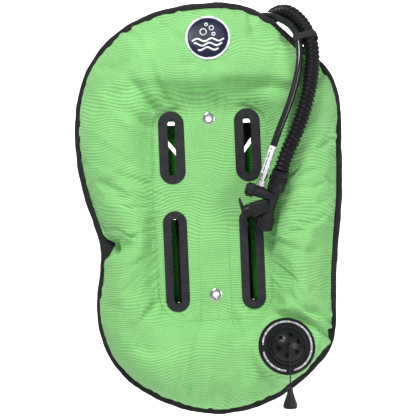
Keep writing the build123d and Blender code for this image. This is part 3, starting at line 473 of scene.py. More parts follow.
def low_pressure_hose():
    """The smooth air supply hose."""
    data = route_curve("low_pressure_hose", LP_ROUTE)
    data.bevel_depth = LP_RADIUS * MM
    data.bevel_resolution = 6
    data.use_fill_caps = True
    data.materials.append(MATERIALS["lp_rubber"])
    obj = bpy.data.objects.new("low_pressure_hose", data)
    SCENE.collection.objects.link(obj)
    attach(obj, "root")
    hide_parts("lp_hose")
    return obj


def pull_cord():
    """The dump valve's braided cord: two strands' bulges run round it in a helix."""
    around = 16
    total = CORD_LINE[1][-1]
    distances = np.linspace(0, total, 220)
    points = tube_points(CORD_LINE, distances, np.ones(len(distances)), around).reshape(-1, around, 3)
    centres = points.mean(axis=1, keepdims=True)
    turns = np.arange(around) * 2 * pi / around
    braid = 1 + 0.09 * np.cos(3 * (turns[None] - distances[:, None] * 1.3)) * np.cos(3 * (turns[None] + distances[:, None] * 1.3))
    points = centres + (points - centres) * (CORD_RADIUS * braid)[:, :, None]
    obj = piece("dump_pull_cord", points.reshape(-1, 3), capped_tube(len(distances), around), "cord_nylon", None)
    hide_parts("dump_cord")
    return obj


def lp_label():
    """Printed sleeve on the low-pressure hose: a white band with plain dark bars."""
    around = 24
    start = 4.0
    end = 50.0
    distances = np.arange(start, end + 0.1, 2.0)
    radii = np.full(len(distances), LP_RADIUS + 0.25)
    radii[0] = radii[-1] = LP_RADIUS - 0.1
    points = tube_points(LP_LINE, distances, radii, around)
    label = piece("lp_hose_label", points, capped_tube(len(distances), around), "mark_white")
    label.data.materials.append(MATERIALS["lp_rubber"])
    for face in label.data.polygons[: (len(distances) - 1) * around]:
        row, column = divmod(face.index, around)
        bar = column % 8 in (2, 5) and 1 < row < len(distances) - 3 and row % 6 != 0
        face.material_index = 1 if bar else 0
    return label


def band_round_hoses():
    """The retainer: a flat band drawn tight round both hoses where they lie together."""
    width = 11.0
    thick = 1.3
    spots, heading, sides, others = at_distance(HOSE_LINE, np.array([HOSE_LINE[1][-1] * 0.46]))
    origin, normal, side, other = spots[0], heading[0], sides[0], others[0]
    away = (LP_LINE[0] - origin) @ normal
    near = np.linalg.norm(LP_LINE[0] - origin, axis=1) < 40
    index = np.argmin(np.where(near, abs(away), 1e9))
    crossing = LP_LINE[0][index] - normal * away[index]
    reach = crossing - origin
    gap = np.linalg.norm(reach)
    reach = reach / gap
    across = np.cross(normal, reach)
    wide = HOSE_RADIUS + 0.15
    narrow = LP_RADIUS + 0.15
    lean = np.arccos((wide - narrow) / gap)
    outline = []
    for turn in np.linspace(lean, 2 * pi - lean, 40):
        outline.append((0.0, wide, turn))
    for turn in np.linspace(-lean, lean, 24):
        outline.append((gap, narrow, turn))
    section = [(0, -1), (0, 1), (1, 1), (1.15, 0.6), (1.15, -0.6), (1, -1)]
    points = []
    for out, level in section:
        for shift, radius, turn in outline:
            ray = cos(turn) * reach + sin(turn) * across
            points.append(origin + reach * shift + ray * (radius + out * thick) + normal * level * width / 2)
    rows = len(section)
    columns = len(outline)
    faces = grid_faces(rows, columns)
    last = (rows - 1) * columns
    faces += [
        [last + k, last + (k + 1) % columns, (k + 1) % columns, k] for k in range(columns)
    ]
    obj = piece("hose_band", points, faces, "webbing")
    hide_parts("hose_retainer")
    return obj


hose = corrugated_hose()
lp_cord = low_pressure_hose()
cord = pull_cord()
label = lp_label()
band = band_round_hoses()


def knob():
    """Bell-shaped dump knob: twelve flutes that widen towards a rounded foot."""
    top = Vector(CORD_ROUTE[-1])
    axis = (top - Vector(CORD_ROUTE[-2])).normalized()
    profile = [(0.01, 0), (3.2, 0.1), (4.1, 0.9), (4.4, 3), (4.5, 5.5), (5.4, 9), (6.7, 13), (8.2, 17.5),
               (9.7, 21.5), (10.8, 25), (11.3, 28), (10.9, 30.4), (9.6, 31.9), (6.5, 32.5), (5.4, 31.2), (0.01, 31)]
    around = 72
    side = axis.cross(Vector((0, 1, 0))).normalized()
    other = axis.cross(side)
    points = []
    for radius, height in profile:
        depth = 0.13 * min(1.0, max(0.0, (height - 5) / 12)) if 5 < height < 31.5 and radius > 6 else 0.0
        for k in range(around):
            turn = 2 * pi * k / around
            fluted = radius * (1 - depth * (0.5 - 0.5 * cos(12 * turn)) ** 1.5)
            points.append(top + axis * height + (side * cos(turn) + other * sin(turn)) * fluted)
    faces = capped_tube(len(profile), around)
    obj = piece("pull_knob", points, faces, "knob_plastic", "dump_knob")
    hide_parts("dump_knob")
    return obj


pull_knob = knob()
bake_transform(cord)

# ---------------------------------------------------------------- the air cell's cloth form
STATIONS = 280
TUBE_STEPS = 24
PANEL_STEPS = 9


def panel_point(x, z):
    """Point of the centre panel's rounded-rectangle outline that lies towards (x, z)."""
    turn = atan2(z - PANEL_Z, x)
    across = abs(cos(turn) / PANEL_HALF_X) ** PANEL_POWER
    along = abs(sin(turn) / PANEL_HALF_Z) ** PANEL_POWER
    reach = (across + along) ** (-1 / PANEL_POWER)
    return reach * cos(turn), PANEL_Z + reach * sin(turn)


EDGE_POINTS = np.array(EDGE, float)
FOOT_POINTS = np.array([panel_point(x, z) for x, z in EDGE])
INWARD = FOOT_POINTS - EDGE_POINTS
INWARD /= np.linalg.norm(INWARD, axis=1)[:, None]
SEAM_POINTS = EDGE_POINTS + INWARD * BINDING_WIDTH
CHORDS = np.linalg.norm(np.roll(EDGE_POINTS, -1, 0) - EDGE_POINTS, axis=1)


def closed_curve(points, times):
    """The smooth closed curve through points at times, measured along the edge's chords."""
    count = len(points)
    matrix = np.zeros((count, count))
    pull = np.zeros_like(points)
    for k in range(count):
        before, after = CHORDS[k - 1], CHORDS[k]
        matrix[k, k - 1] += before
        matrix[k, k] += 2 * (before + after)
        matrix[k, (k + 1) % count] += after
        pull[k] = 6 * ((points[(k + 1) % count] - points[k]) / after - (points[k] - points[k - 1]) / before)
    bend = np.linalg.solve(matrix, pull)
    knots = np.concatenate([[0], np.cumsum(CHORDS)])
    spans = np.clip(np.searchsorted(knots, times, side="right") - 1, 0, count - 1)
    following = (spans + 1) % count
    width = CHORDS[spans]
    b = (times - knots[spans]) / width
    a = 1 - b
    line = a[:, None] * points[spans] + b[:, None] * points[following]
    curve = (a**3 - a)[:, None] * bend[spans] + (b**3 - b)[:, None] * bend[following]
    return line + curve * (width**2)[:, None] / 6


def even_times(count):
    """Times of evenly spaced stations round the edge."""
    fine = np.linspace(0, CHORDS.sum(), 4001)
    points = closed_curve(EDGE_POINTS, fine)
    along = np.concatenate([[0], np.cumsum(np.linalg.norm(np.diff(points, axis=0), axis=1))])
    return np.interp(np.arange(count) * along[-1] / count, along, fine)


def cell_grid(facing, stations, inset=0.0):
    """Rings of points from the seam over the tube to the panel's middle; facing is -1 or 1 along Y."""
    times = even_times(stations)
    seam = closed_curve(SEAM_POINTS + INWARD * inset, times)
    foot = closed_curve(FOOT_POINTS - INWARD * inset, times)
    rings = []
    panel = PANEL_RISE - inset
    bulge = CROWN_RISE - inset - panel / 2
    for step in range(TUBE_STEPS + 1):
        turn = pi * step / TUBE_STEPS
        share = (1 - cos(turn)) / 2
        flat = seam + (foot - seam) * share
        rise = bulge * sin(turn) + panel * share
        rings.append(np.column_stack([flat[:, 0], np.full(stations, SEAM_Y + facing * rise), flat[:, 1]]))
    middle = np.array([0, PANEL_Z])
    for step in range(1, PANEL_STEPS + 1):
        flat = middle + (foot - middle) * (1 - step / (PANEL_STEPS + 0.15))
        rings.append(np.column_stack([flat[:, 0], np.full(stations, SEAM_Y + facing * panel), flat[:, 1]]))
    return np.array(rings)


def refine(grid):
    """Twice as many rings and stations, by four-point interpolation."""
    between = (9 * (grid + np.roll(grid, -1, 1)) - np.roll(grid, 1, 1) - np.roll(grid, -2, 1)) / 16
    wide = np.empty((grid.shape[0], 2 * grid.shape[1], 3))
    wide[:, 0::2] = grid
    wide[:, 1::2] = between
    first = 2 * wide[:1] - wide[1:2]
    last = 2 * wide[-1:] - wide[-2:-1]
    padded = np.concatenate([first, wide, last])
    middle = (9 * (padded[1:-2] + padded[2:-1]) - padded[:-3] - padded[3:]) / 16
    tall = np.empty((2 * wide.shape[0] - 1, wide.shape[1], 3))
    tall[0::2] = wide
    tall[1::2] = middle
    return tall


def outward_normals(grid, facing):
    """Unit normals of a grid of rings, pointing out of the cell."""
    along = np.roll(grid, -1, 1) - np.roll(grid, 1, 1)
    across = np.gradient(grid, axis=0)
    normals = np.cross(along, across) * facing
    return normals / np.maximum(np.linalg.norm(normals, axis=2), 1e-9)[:, :, None]


def ease(value):
    value = np.clip(value, 0, 1)
    return value * value * (3 - 2 * value)


CLOTH_FRAMES = 22
MOST_OUT = 2.2
MOST_IN = 6.0


def swell(grid, facing):
    """Cloth simulation of one face of the cell: spare cloth buckles under the air's pressure.

    The seam, the centre panel, the badge and the valve seats are held."""
    rows, columns, _ = grid.shape
    mesh = bpy.data.meshes.new("cloth_trial")
    mesh.from_pydata([tuple(p) for p in grid.reshape(-1, 3) * MM], [], grid_faces(rows, columns, flip=facing < 0))
    obj = bpy.data.objects.new("cloth_trial", mesh)
    SCENE.collection.objects.link(obj)
    held = obj.vertex_groups.new(name="held")
    flat = grid.reshape(-1, 3)
    fixed = np.zeros((rows, columns), bool)
    fixed[:2] = True
    fixed[TUBE_STEPS:] = True
    fixed = fixed.reshape(-1)
    if facing < 0:
        fixed |= np.hypot(flat[:, 0] - BADGE[0], flat[:, 2] - BADGE[1]) < BADGE_RADIUS + 3
        fixed |= np.hypot(flat[:, 0] - DUMP_ORIGIN.x, flat[:, 2] - DUMP_ORIGIN.z) < DUMP_SEAT
    else:
        fixed |= np.hypot(flat[:, 0] - ELBOW_ORIGIN.x, flat[:, 2] - ELBOW_ORIGIN.z) < ELBOW_SEAT
    held.add([int(k) for k in np.nonzero(fixed)[0]], 1.0, "REPLACE")
    cloth = obj.modifiers.new("cloth", "CLOTH")
    settings = cloth.settings
    settings.quality = 7
    settings.mass = 0.2
    settings.tension_stiffness = 18
    settings.compression_stiffness = 18
    settings.shear_stiffness = 8
    settings.bending_stiffness = 0.8
    settings.shrink_min = -0.05
    settings.use_pressure = True
    settings.uniform_pressure_force = 2.5
    settings.vertex_group_mass = "held"
    settings.effector_weights.gravity = 0
    cloth.collision_settings.use_collision = False
    cloth.point_cache.frame_start = 1
    cloth.point_cache.frame_end = CLOTH_FRAMES
    for frame_number in range(1, CLOTH_FRAMES + 1):
        SCENE.frame_set(frame_number)
    settled = obj.evaluated_get(bpy.context.evaluated_depsgraph_get())
    result = np.array([vertex.co for vertex in settled.data.vertices]).reshape(rows, columns, 3) / MM
    SCENE.frame_set(1)
    bpy.data.objects.remove(obj)
    bpy.data.meshes.remove(mesh)
    normals = outward_normals(grid, facing)
    move = result - grid
    out = (move * normals).sum(2)
    side = move - normals * out[:, :, None]
    reach = np.linalg.norm(side, axis=2)
    side *= (np.minimum(reach, 6.0) / np.maximum(reach, 1e-9))[:, :, None]
    out = out - 4.0 * np.sin(np.clip(np.arange(rows) / TUBE_STEPS, 0, 1) * pi)[:, None]
    out = np.clip(out, -MOST_IN, MOST_OUT)
    return grid + normals * out[:, :, None] + side


def wander(times, seed, scale):
    """Smooth uneven wave between about -1 and 1, from a few sines of odd lengths."""
    chance = np.random.default_rng(seed)
    total = np.zeros_like(times)
    for size in (1.0, 0.63, 0.41, 0.27):
        total += np.sin(times / (scale * size) * 2 * pi + chance.uniform(0, 2 * pi)) * size
    return total / 1.8


# Creases that the cloth takes: each runs along points (x, z), with its width, its depth at the
# start and its depth at the end.
FRONT_CREASES = [
    ([(-196, -66), (-150, -60), (-112, -52)], 13, 15, 1),
    ([(190, -216), (146, -192), (114, -181), (74, -168)], 8, 13, 4),
    ([(196, -200), (160, -176), (128, -160)], 7, 6, 1),
    ([(-82, 152), (-112, 192), (-138, 224)], 10, 6, 1),
    ([(-88, 128), (-126, 152), (-168, 168)], 10, 5, 1),
    ([(-64, 166), (-82, 206), (-92, 244)], 9, 5, 1),
    ([(26, 190), (88, 186), (148, 172)], 13, 8, 3),
    ([(150, 172), (176, 196), (196, 216)], 9, 5, 2),
    ([(-96, -150), (-126, -182), (-150, -222)], 9, 4, 1),
    ([(30, -178), (38, -214), (40, -256)], 9, 4, 1),
    ([(-34, -180), (-46, -222), (-52, -262)], 9, 3.5, 1),
    ([(96, 30), (134, 22), (176, 26)], 10, 3.5, 1),
    ([(98, -60), (138, -74), (178, -70)], 9, 3, 1),
    ([(-96, 40), (-136, 50), (-178, 44)], 10, 3, 1),
    ([(-128, 292), (-108, 268), (-96, 240)], 8, 5, 1),
    ([(72, 300), (78, 268), (74, 238)], 8, 4, 1),
]
BACK_CREASES = [
    ([(-196, -66), (-150, -60), (-112, -52)], 13, 14, 1),
    ([(190, -216), (146, -192), (110, -168)], 9, 10, 2),
    ([(-82, 152), (-112, 192), (-138, 224)], 10, 5, 1),
    ([(82, 152), (60, 190), (52, 236)], 10, 4, 1),
    ([(96, -150), (122, -190), (140, -236)], 9, 4, 1),
    ([(-92, -152), (-122, -192), (-140, -236)], 9, 4, 1),
    ([(98, 20), (140, 14), (180, 20)], 10, 3.5, 1),
    ([(0, -180), (6, -220), (0, -262)], 9, 3.5, 1),
]


# Places where the seam is drawn in: (x, z) on the edge, half width along it and depth.
PINCHES = [((-183, -60), 15, 17), ((186, -214), 9, 6)]
PINCH_ROWS = 26


def pinch_depths(flat):
    """How far each point of the edge is drawn in."""
    depth = np.zeros(len(flat))
    for spot, half, most in PINCHES:
        away = np.linalg.norm(flat - np.array(spot, float), axis=1)
        depth += most * np.maximum(0, 1 - (away / (1.7 * half)) ** 1.2) ** 1.3
    return depth


def pinched(grid):
    """Draws the cloth in beside the pinches of its seam, in a sharp fold that soon fades."""
    edge = closed_curve(EDGE_POINTS, even_times(grid.shape[1]))
    seam = closed_curve(SEAM_POINTS, even_times(grid.shape[1]))
    inward = seam - edge
    inward /= np.linalg.norm(inward, axis=1)[:, None]
    fade = ease(1 - np.arange(len(grid)) / PINCH_ROWS)[:, None]
    move = pinch_depths(edge)[None] * fade
    grid[:, :, 0] += move * inward[None, :, 0]
    grid[:, :, 2] += move * inward[None, :, 1]
    return grid


def crease_depths(flat, creases):
    """How deep the creases press each point in, in millimetres."""
    depth = np.zeros(len(flat))
    for line, width, first, last in creases:
        corners = np.array(line, float)
        lengths = np.linalg.norm(np.diff(corners, axis=0), axis=1)
        before = np.concatenate([[0], np.cumsum(lengths)])
        best = np.full(len(flat), 1e9)
        share = np.zeros(len(flat))
        for k, length in enumerate(lengths):
            run = (corners[k + 1] - corners[k]) / length
            along = np.clip((flat - corners[k]) @ run, 0, length)
            away = np.linalg.norm(flat - corners[k] - along[:, None] * run, axis=1)
            nearer = away < best
            best = np.where(nearer, away, best)
            share = np.where(nearer, (before[k] + along) / before[-1], share)
        amount = first + (last - first) * share
        taper = ease((1.02 - share) * 5) * ease((share + 0.12) * 6)
        valley = np.exp(-((best / (0.55 * width)) ** 2)) - 0.35 * np.exp(-(((best - 1.5 * width) / (0.7 * width)) ** 2))
        depth += amount * taper * valley
    return depth


def beside_hardware(grid, facing):
    """0 under the slot frames, the grommets and the zip behind, rising to 1 away from them."""
    x, z = grid[:, :, 0], grid[:, :, 2]
    share = np.ones(x.shape)
    if facing > 0:
        share = ease((np.hypot(x - ZIP_X, z - np.clip(z, ZIP_BOTTOM - PULL_ROOM, ZIP_TOP)) - 9) / 6)
    for cx, cz, half in SLOTS:
        foot = np.clip(z, cz - half, cz + half)
        share = np.minimum(share, ease((np.hypot(x - cx, z - foot) - 27) / 8))
    for cx, cz in GROMMETS:
        share = np.minimum(share, ease((np.hypot(x - cx, z - cz) - 14) / 8))
    return share


def zip_strip(grid):
    """1 under the zip's tapes and 0 elsewhere, so that no ripple lifts the cloth over them."""
    x, z = grid[:, :, 0], grid[:, :, 2]
    return (np.hypot(x - ZIP_X, z - np.clip(z, ZIP_BOTTOM - PULL_ROOM, ZIP_TOP)) < 10) * 1.0


def softened(grid, facing):
    """Rounds the fold where the tube meets the centre panel, as thick cloth does."""
    foot = 2 * TUBE_STEPS
    rows = np.arange(len(grid))
    share = ease((rows - foot + 15) / 8) * ease((foot + 3.5 - rows) / 3)
    soft = grid
    for _ in range(26):
        middle = soft.copy()
        middle[1:-1] = (soft[:-2] + 2 * soft[1:-1] + soft[2:]) / 4
        soft = soft + (middle - soft) * share[:, None, None]
    return grid + (soft - grid) * beside_hardware(grid, facing)[:, :, None]


SEAT_ROWS = 10


def seat(grid, origin, normal, radius, blend):
    """Draws the cloth onto a valve's flat seat and eases it back over the blend."""
    level = origin.y - ((grid[:, :, 0] - origin.x) * normal.x + (grid[:, :, 2] - origin.z) * normal.z) / normal.y
    away = np.hypot(grid[:, :, 0] - origin.x, grid[:, :, 2] - origin.z)
    hold = 1 - ease((away - radius) / blend)
    row = np.arange(len(grid))
    held_rows = ease(row / SEAT_ROWS) * (row < 2 * TUBE_STEPS - 2)
    hold = hold * held_rows[:, None]
    grid[:, :, 1] += (level - grid[:, :, 1]) * hold
    return grid


def press(grid, line, radius, facing):
    """Hoses that lie on the cloth dent it: points closer than the radius give way."""
    for spot in line[0][::3]:
        flat = np.hypot(grid[:, :, 0] - spot[0], grid[:, :, 2] - spot[2])
        inside = flat < radius
        rest = spot[1] - facing * np.sqrt(np.maximum(radius**2 - flat**2, 0))
        over = inside & ((grid[:, :, 1] - rest) * facing > 0) & ((spot[1] - SEAM_Y) * facing > 0)
        grid[:, :, 1] = np.where(over, rest, grid[:, :, 1])
    return grid


def wrinkled(grid, facing, creases, seed):
    """Adds sewing puckers beside the seams, the listed creases and the small unevenness of cloth."""
    rows, columns, _ = grid.shape
    tube = 2 * TUBE_STEPS
    normals = outward_normals(grid, facing)
    round_edge = np.arange(columns) * (2100 / columns)
    row = np.arange(rows)
    near_seam = np.exp(-row / 5.0) * (row > 1)
    near_foot = np.exp(-abs(tube - row) / 4.5)
    pucker = wander(round_edge, seed, 21)[None] * near_seam[:, None] * 0.9
    pucker = pucker + wander(round_edge, seed + 1, 30)[None] * near_foot[:, None] * 1.3
    broad = wander(round_edge, seed + 2, 95)[None] * np.sin(np.clip(row / tube, 0, 1) * pi)[:, None] * 1.2
    flat = grid[:, :, [0, 2]].reshape(-1, 2)
    uneven = 0.5 * np.sin(flat[:, 0] / 17 + 1.3 * np.sin(flat[:, 1] / 23)) * np.sin(flat[:, 1] / 19 + seed)
    pressed = crease_depths(flat, creases).reshape(rows, columns)
    pressed *= (row > 1)[:, None]
    room = 0.55 * abs(grid[:, :, 1] - SEAM_Y)
    pressed = np.where(row[:, None] < tube, np.minimum(pressed, room), pressed)
    quiet = 0.08 + 0.92 * beside_hardware(grid, facing)
    if facing > 0:
        quiet = quiet * (1 - zip_strip(grid))
    if facing < 0:
        quiet = quiet * ease((np.hypot(grid[:, :, 0] - BADGE[0], grid[:, :, 2] - BADGE[1]) - BADGE_RADIUS) / 12)
    height = (pucker + broad + uneven.reshape(rows, columns)) * quiet - pressed * quiet
    return grid + normals * height[:, :, None]


def open_holes(mesh):
    """Cuts the cloth under the slot frames and the grommets, with a clean edge."""
    import bmesh
    work = bmesh.new()
    work.from_mesh(mesh)

    def reach(co):
        """(distance outside the nearest cut's edge, that cut's middle line point, its radius)"""
        x, z = co.x / MM, co.z / MM
        best = (1e9, 0, 0, 0)
        for cx, cz, half in SLOTS:
            foot = min(max(z, cz - half), cz + half)
            best = min(best, (hypot(x - cx, z - foot) - 11.5, cx, foot, 11.5))
        for cx, cz in GROMMETS:
            best = min(best, (hypot(x - cx, z - cz) - 7.5, cx, cz, 7.5))
        return best

    near = [edge for edge in work.edges if min(reach(vertex.co)[0] for vertex in edge.verts) < 8]
    long_ones = [edge for edge in near if edge.calc_length() > 4 * MM]
    bmesh.ops.subdivide_edges(work, edges=long_ones, cuts=2, use_grid_fill=True)
    doomed = [face for face in work.faces if any(reach(vertex.co)[0] < 0 for vertex in face.verts)]
    bmesh.ops.delete(work, geom=doomed, context="FACES")
    for edge in work.edges:
        if not edge.is_boundary:
            continue
        for vertex in edge.verts:
            gap, cx, cz, radius = reach(vertex.co)
            if gap > 12:
                continue
            away = hypot(vertex.co.x / MM - cx, vertex.co.z / MM - cz)
            scale = radius / max(away, 1e-6)
            vertex.co.x = (cx + (vertex.co.x / MM - cx) * scale) * MM
            vertex.co.z = (cz + (vertex.co.z / MM - cz) * scale) * MM
    work.to_mesh(mesh)
    work.free()


def cell_cloth(name, facing, creases, node, seed):
    """One face of the air cell as cloth, with its holes, on a fine grid."""
    grid = softened(refine(swell(cell_grid(facing, STATIONS), facing)), facing)
    grid = pinched(grid)
    if facing < 0:
        grid = seat(wrinkled(grid, facing, creases, seed), DUMP_ORIGIN, DUMP_NORMAL, DUMP_SEAT + 1, 13)
        grid = press(grid, HOSE_LINE, HOSE_RADIUS + 1.2, facing)
        grid = press(grid, LP_LINE, LP_RADIUS + 1.0, facing)
    else:
        grid = seat(wrinkled(grid, facing, creases, seed), ELBOW_ORIGIN, Vector((0, 1, 0)), ELBOW_SEAT + 1, 14)
        grid = press(grid, LP_LINE, LP_RADIUS + 1.0, facing)
    rows, columns, _ = grid.shape
    points = [tuple(p) for p in grid.reshape(-1, 3)]
    faces = grid_faces(rows, columns, flip=facing < 0)
    points.append((0, SEAM_Y + facing * PANEL_RISE, PANEL_Z))
    last = (rows - 1) * columns
    for k in range(columns):
        cap = [last + k, last + (k + 1) % columns, len(points) - 1]
        faces.append(cap[::-1] if facing < 0 else cap)
    obj = piece(name, points, faces, "cell_cloth")
    open_holes(obj.data)
    thick = obj.modifiers.new("thickness", "SOLIDIFY")
    thick.thickness = CLOTH_THICK * MM
    thick.offset = -1
    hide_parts(node)
    return obj


front_cloth = cell_cloth("front_cloth", -1, FRONT_CREASES, "front_shell", 3)
back_cloth = cell_cloth("back_cloth", 1, BACK_CREASES, "back_shell", 11)


def surface_of(obj):
    mesh = obj.data
    return BVHTree.FromPolygons([v.co.copy() for v in mesh.vertices], [tuple(p.vertices) for p in mesh.polygons])


FRONT_SURFACE = surface_of(front_cloth)
BACK_SURFACE = surface_of(back_cloth)


def drop(surface, x, z, facing):
    """(point, normal) in millimetres where a line along Y meets the cloth."""
    hit, normal, _, _ = surface.ray_cast(Vector((x * MM, facing * 0.3, z * MM)), Vector((0, -facing, 0)))
    if hit is None:
        return None
    if normal.y * facing < 0:
        normal = -normal
    return hit / MM, normal


# ---------------------------------------------------------------- inner bladder, out of sight
BLADDER_INSET = 15.0


def bladder_side(facing, creases, origin, normal, radius):
    """One face of the bladder: it follows the cloth's creases and seats from inside."""
    grid = refine(cell_grid(facing, 100, BLADDER_INSET))
    flat = grid[:, :, [0, 2]].reshape(-1, 2)
    pressed = crease_depths(flat, creases).reshape(grid.shape[:2])
    grid = pinched(grid - outward_normals(grid, facing) * np.maximum(pressed, 0)[:, :, None])
    free = grid[:, :, 1].copy()
    grid = seat(grid, origin - normal * BLADDER_INSET, normal, radius, 16)
    innermost = np.maximum if facing < 0 else np.minimum
    grid[:, :, 1] = innermost(grid[:, :, 1], free)
    return grid[2 : 2 * TUBE_STEPS + 1]


def inner_bladder():
    front = bladder_side(-1, FRONT_CREASES, DUMP_ORIGIN, DUMP_NORMAL, DUMP_SEAT + 4)
    back = bladder_side(1, BACK_CREASES, ELBOW_ORIGIN, Vector((0, 1, 0)), ELBOW_SEAT + 4)
    stations = front.shape[1]
    rings = np.concatenate([front[::-1], back[1:]])
    rows = len(rings)
    points = rings.reshape(-1, 3)
    faces = grid_faces(rows, stations)
    last = (rows - 1) * stations
    faces += [[last + k, last + (k + 1) % stations, (k + 1) % stations, k] for k in range(stations)]
    obj = piece("air_bladder", points, faces, "bladder_film")
    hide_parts("bladder")
    return obj


inner_bladder()


# ---------------------------------------------------------------- edge binding and stitching
def ring_frame(stations, outset):
    """Points just outside the seam, with the outward direction at each."""
    times = even_times(stations)
    seam = closed_curve(SEAM_POINTS, times)
    edge = closed_curve(EDGE_POINTS, times)
    outward = edge - seam
    outward /= np.linalg.norm(outward, axis=1)[:, None]
    return seam + outward * outset, outward


BINDING_STATIONS = 560


def binding_waves():
    along = np.arange(BINDING_STATIONS) * (2100 / BINDING_STATIONS)
    sideways = wander(along, 21, 60) * 0.5
    depth = wander(along, 22, 85) * 1.4 + wander(along, 23, 24) * 0.3
    return sideways, depth


def edge_binding():
    """Tape folded over the seam: a soft-edged flat section that wavers with the puckered cloth."""
    flat, outward = ring_frame(BINDING_STATIONS, BINDING_WIDTH / 2 - 0.2)
    sideways, depth = binding_waves()
    around = 16
    half_width = BINDING_WIDTH / 2 + 0.6
    drawn = pinch_depths(closed_curve(EDGE_POINTS, even_times(BINDING_STATIONS)))
    points = []
    for level in range(around):
        turn = 2 * pi * level / around
        across = np.sign(cos(turn)) * abs(cos(turn)) ** 0.6 * half_width
        up = np.sign(sin(turn)) * abs(sin(turn)) ** 0.7
        thick = 2.7 if across > 0 else 2.2
        if across < 0:
            spread = flat + outward * (across - drawn)[:, None]
        else:
            spread = flat + outward * (across + sideways)[:, None]
        points.append(np.column_stack([spread[:, 0], SEAM_Y + depth + up * thick, spread[:, 1]]))
    points = np.concatenate(points)
    faces = grid_faces(around, BINDING_STATIONS)
    last = (around - 1) * BINDING_STATIONS
    for k in range(BINDING_STATIONS):
        following = (k + 1) % BINDING_STATIONS
        faces.append([last + k, last + following, following, k])
    obj = piece("binding_tape", points, faces, "edge_tape")
    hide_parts("edge_binding")
    return obj


edge_binding()


GAP_IN_ROW = 12.0  # spots further apart than this aren't sewn together


def stitches(name, spots, material, pitch=4.2, length=3.0, radius=0.38):
    """A row of stitches: each is a small rounded bar that dips into the cloth at both ends.

    spots are points with normals along the row, in millimetres."""
    points = [np.array(spot) for spot, _ in spots]
    normals = [np.array(normal) for _, normal in spots]
    along = np.concatenate([[0], np.cumsum([np.linalg.norm(b - a) for a, b in zip(points, points[1:])])])
    points = np.array(points)
    normals = np.array(normals)
    vertices = []
    faces = []
    sides = 6
    profile = [(-0.5, 0.35, -0.35), (-0.3, 0.9, 0.3), (0, 1.0, 0.45), (0.3, 0.9, 0.3), (0.5, 0.35, -0.35)]
    for start in np.arange(pitch / 2, along[-1] - pitch / 2, pitch):
        after = np.searchsorted(along, start, side="right")
        if along[after] - along[after - 1] > GAP_IN_ROW:
            continue
        centre = np.array([np.interp(start, along, points[:, k]) for k in range(3)])
        ahead = np.array([np.interp(start + 1, along, points[:, k]) for k in range(3)])
        normal = np.array([np.interp(start, along, normals[:, k]) for k in range(3)])
        heading = ahead - centre
        heading /= max(np.linalg.norm(heading), 1e-9)
        normal -= heading * np.dot(normal, heading)
        normal /= np.linalg.norm(normal)
        side = np.cross(heading, normal)
        base = len(vertices)
        for share, width, lift in profile:
            for k in range(sides):
                turn = 2 * pi * k / sides
                ring = (side * cos(turn) + normal * sin(turn)) * radius * width
                vertices.append(centre + heading * share * length + normal * lift * radius * 1.3 + ring)
        rings = len(profile)
        faces += [[v + base for v in face] for face in capped_tube(rings, sides)]
    return piece(name, vertices, faces, material)


def row_over(surface, facing, points, closed=False):
    """Points with normals where an (x, z) line lies on the cloth, at a spacing of about 3 mm."""
    corners = np.array(points + ([points[0]] if closed else []), float)
    spots = []
    for start, end in zip(corners, corners[1:]):
        count = max(2, int(np.linalg.norm(end - start) / 3))
        for step in range(count):
            x, z = start + (end - start) * step / count
            under_zip = facing > 0 and abs(x - ZIP_X) < 9 and ZIP_BOTTOM - 4 < z < ZIP_TOP + 4
            found = drop(surface, x, z, facing)
            if found and not under_zip:
                spots.append((found[0] + found[1] * 0.1, found[1]))
    return spots


def panel_line(inset):
    """The sewn outline of the centre panel, drawn in by inset."""
    points = []
    for k in range(120):
        turn = 2 * pi * k / 120
        x, z = panel_point(1000 * sin(turn), PANEL_Z + 1000 * cos(turn))
        points.append((x * (1 - inset / PANEL_HALF_X), PANEL_Z + (z - PANEL_Z) * (1 - inset / PANEL_HALF_Z)))
    return points


for face_name, surface, facing in (("front", FRONT_SURFACE, -1), ("back", BACK_SURFACE, 1)):
    stitches(f"{face_name}_panel_stitches", row_over(surface, facing, panel_line(2.5), True), "thread_green")
    for side_name, side in (("left", -1), ("right", 1)):
        line = [(side * SPINE_LINE_X, -12), (side * SPINE_LINE_X, -190)]
        stitches(f"{face_name}_spine_stitches_{side_name}", row_over(surface, facing, line), "thread_green")

BINDING_STITCH_INSET = 2.4
for face_name, facing in (("front", -1), ("back", 1)):
    flat, _ = ring_frame(BINDING_STATIONS, BINDING_STITCH_INSET)
    _, depth = binding_waves()
    spots = []
    for (x, z), wave in zip(flat, depth):
        spots.append((Vector((x, SEAM_Y + wave + facing * 2.35, z)), Vector((0, facing, 0))))
    spots.append(spots[0])
    stitches(f"{face_name}_binding_stitches", spots, "thread_black", 4.6, 3.2, 0.4)


# ---------------------------------------------------------------- slot flaps inside the wing
def flap_strip(name, corners, material, y, sag=0.6):
    """A cloth flap between four (x, z) corners, slightly bowed, with its own thickness."""
    rows, columns = 24, 8
    lower_left, lower_right, upper_right, upper_left = [np.array(c, float) for c in corners]
    points = []
    for row in range(rows):
        t = row / (rows - 1)
        left = lower_left + (upper_left - lower_left) * t
        right = lower_right + (upper_right - lower_right) * t
        for column in range(columns):
            s = column / (columns - 1)
            x, z = left + (right - left) * s
            points.append((x, y - sag * sin(pi * s) * (0.6 + 0.4 * sin(t * 9)), z))
    obj = piece(name, points, grid_faces(rows, columns, wrap=False), material)
    thick = obj.modifiers.new("thickness", "SOLIDIFY")
    thick.thickness = 0.7 * MM
    thick.offset = 0
    return obj


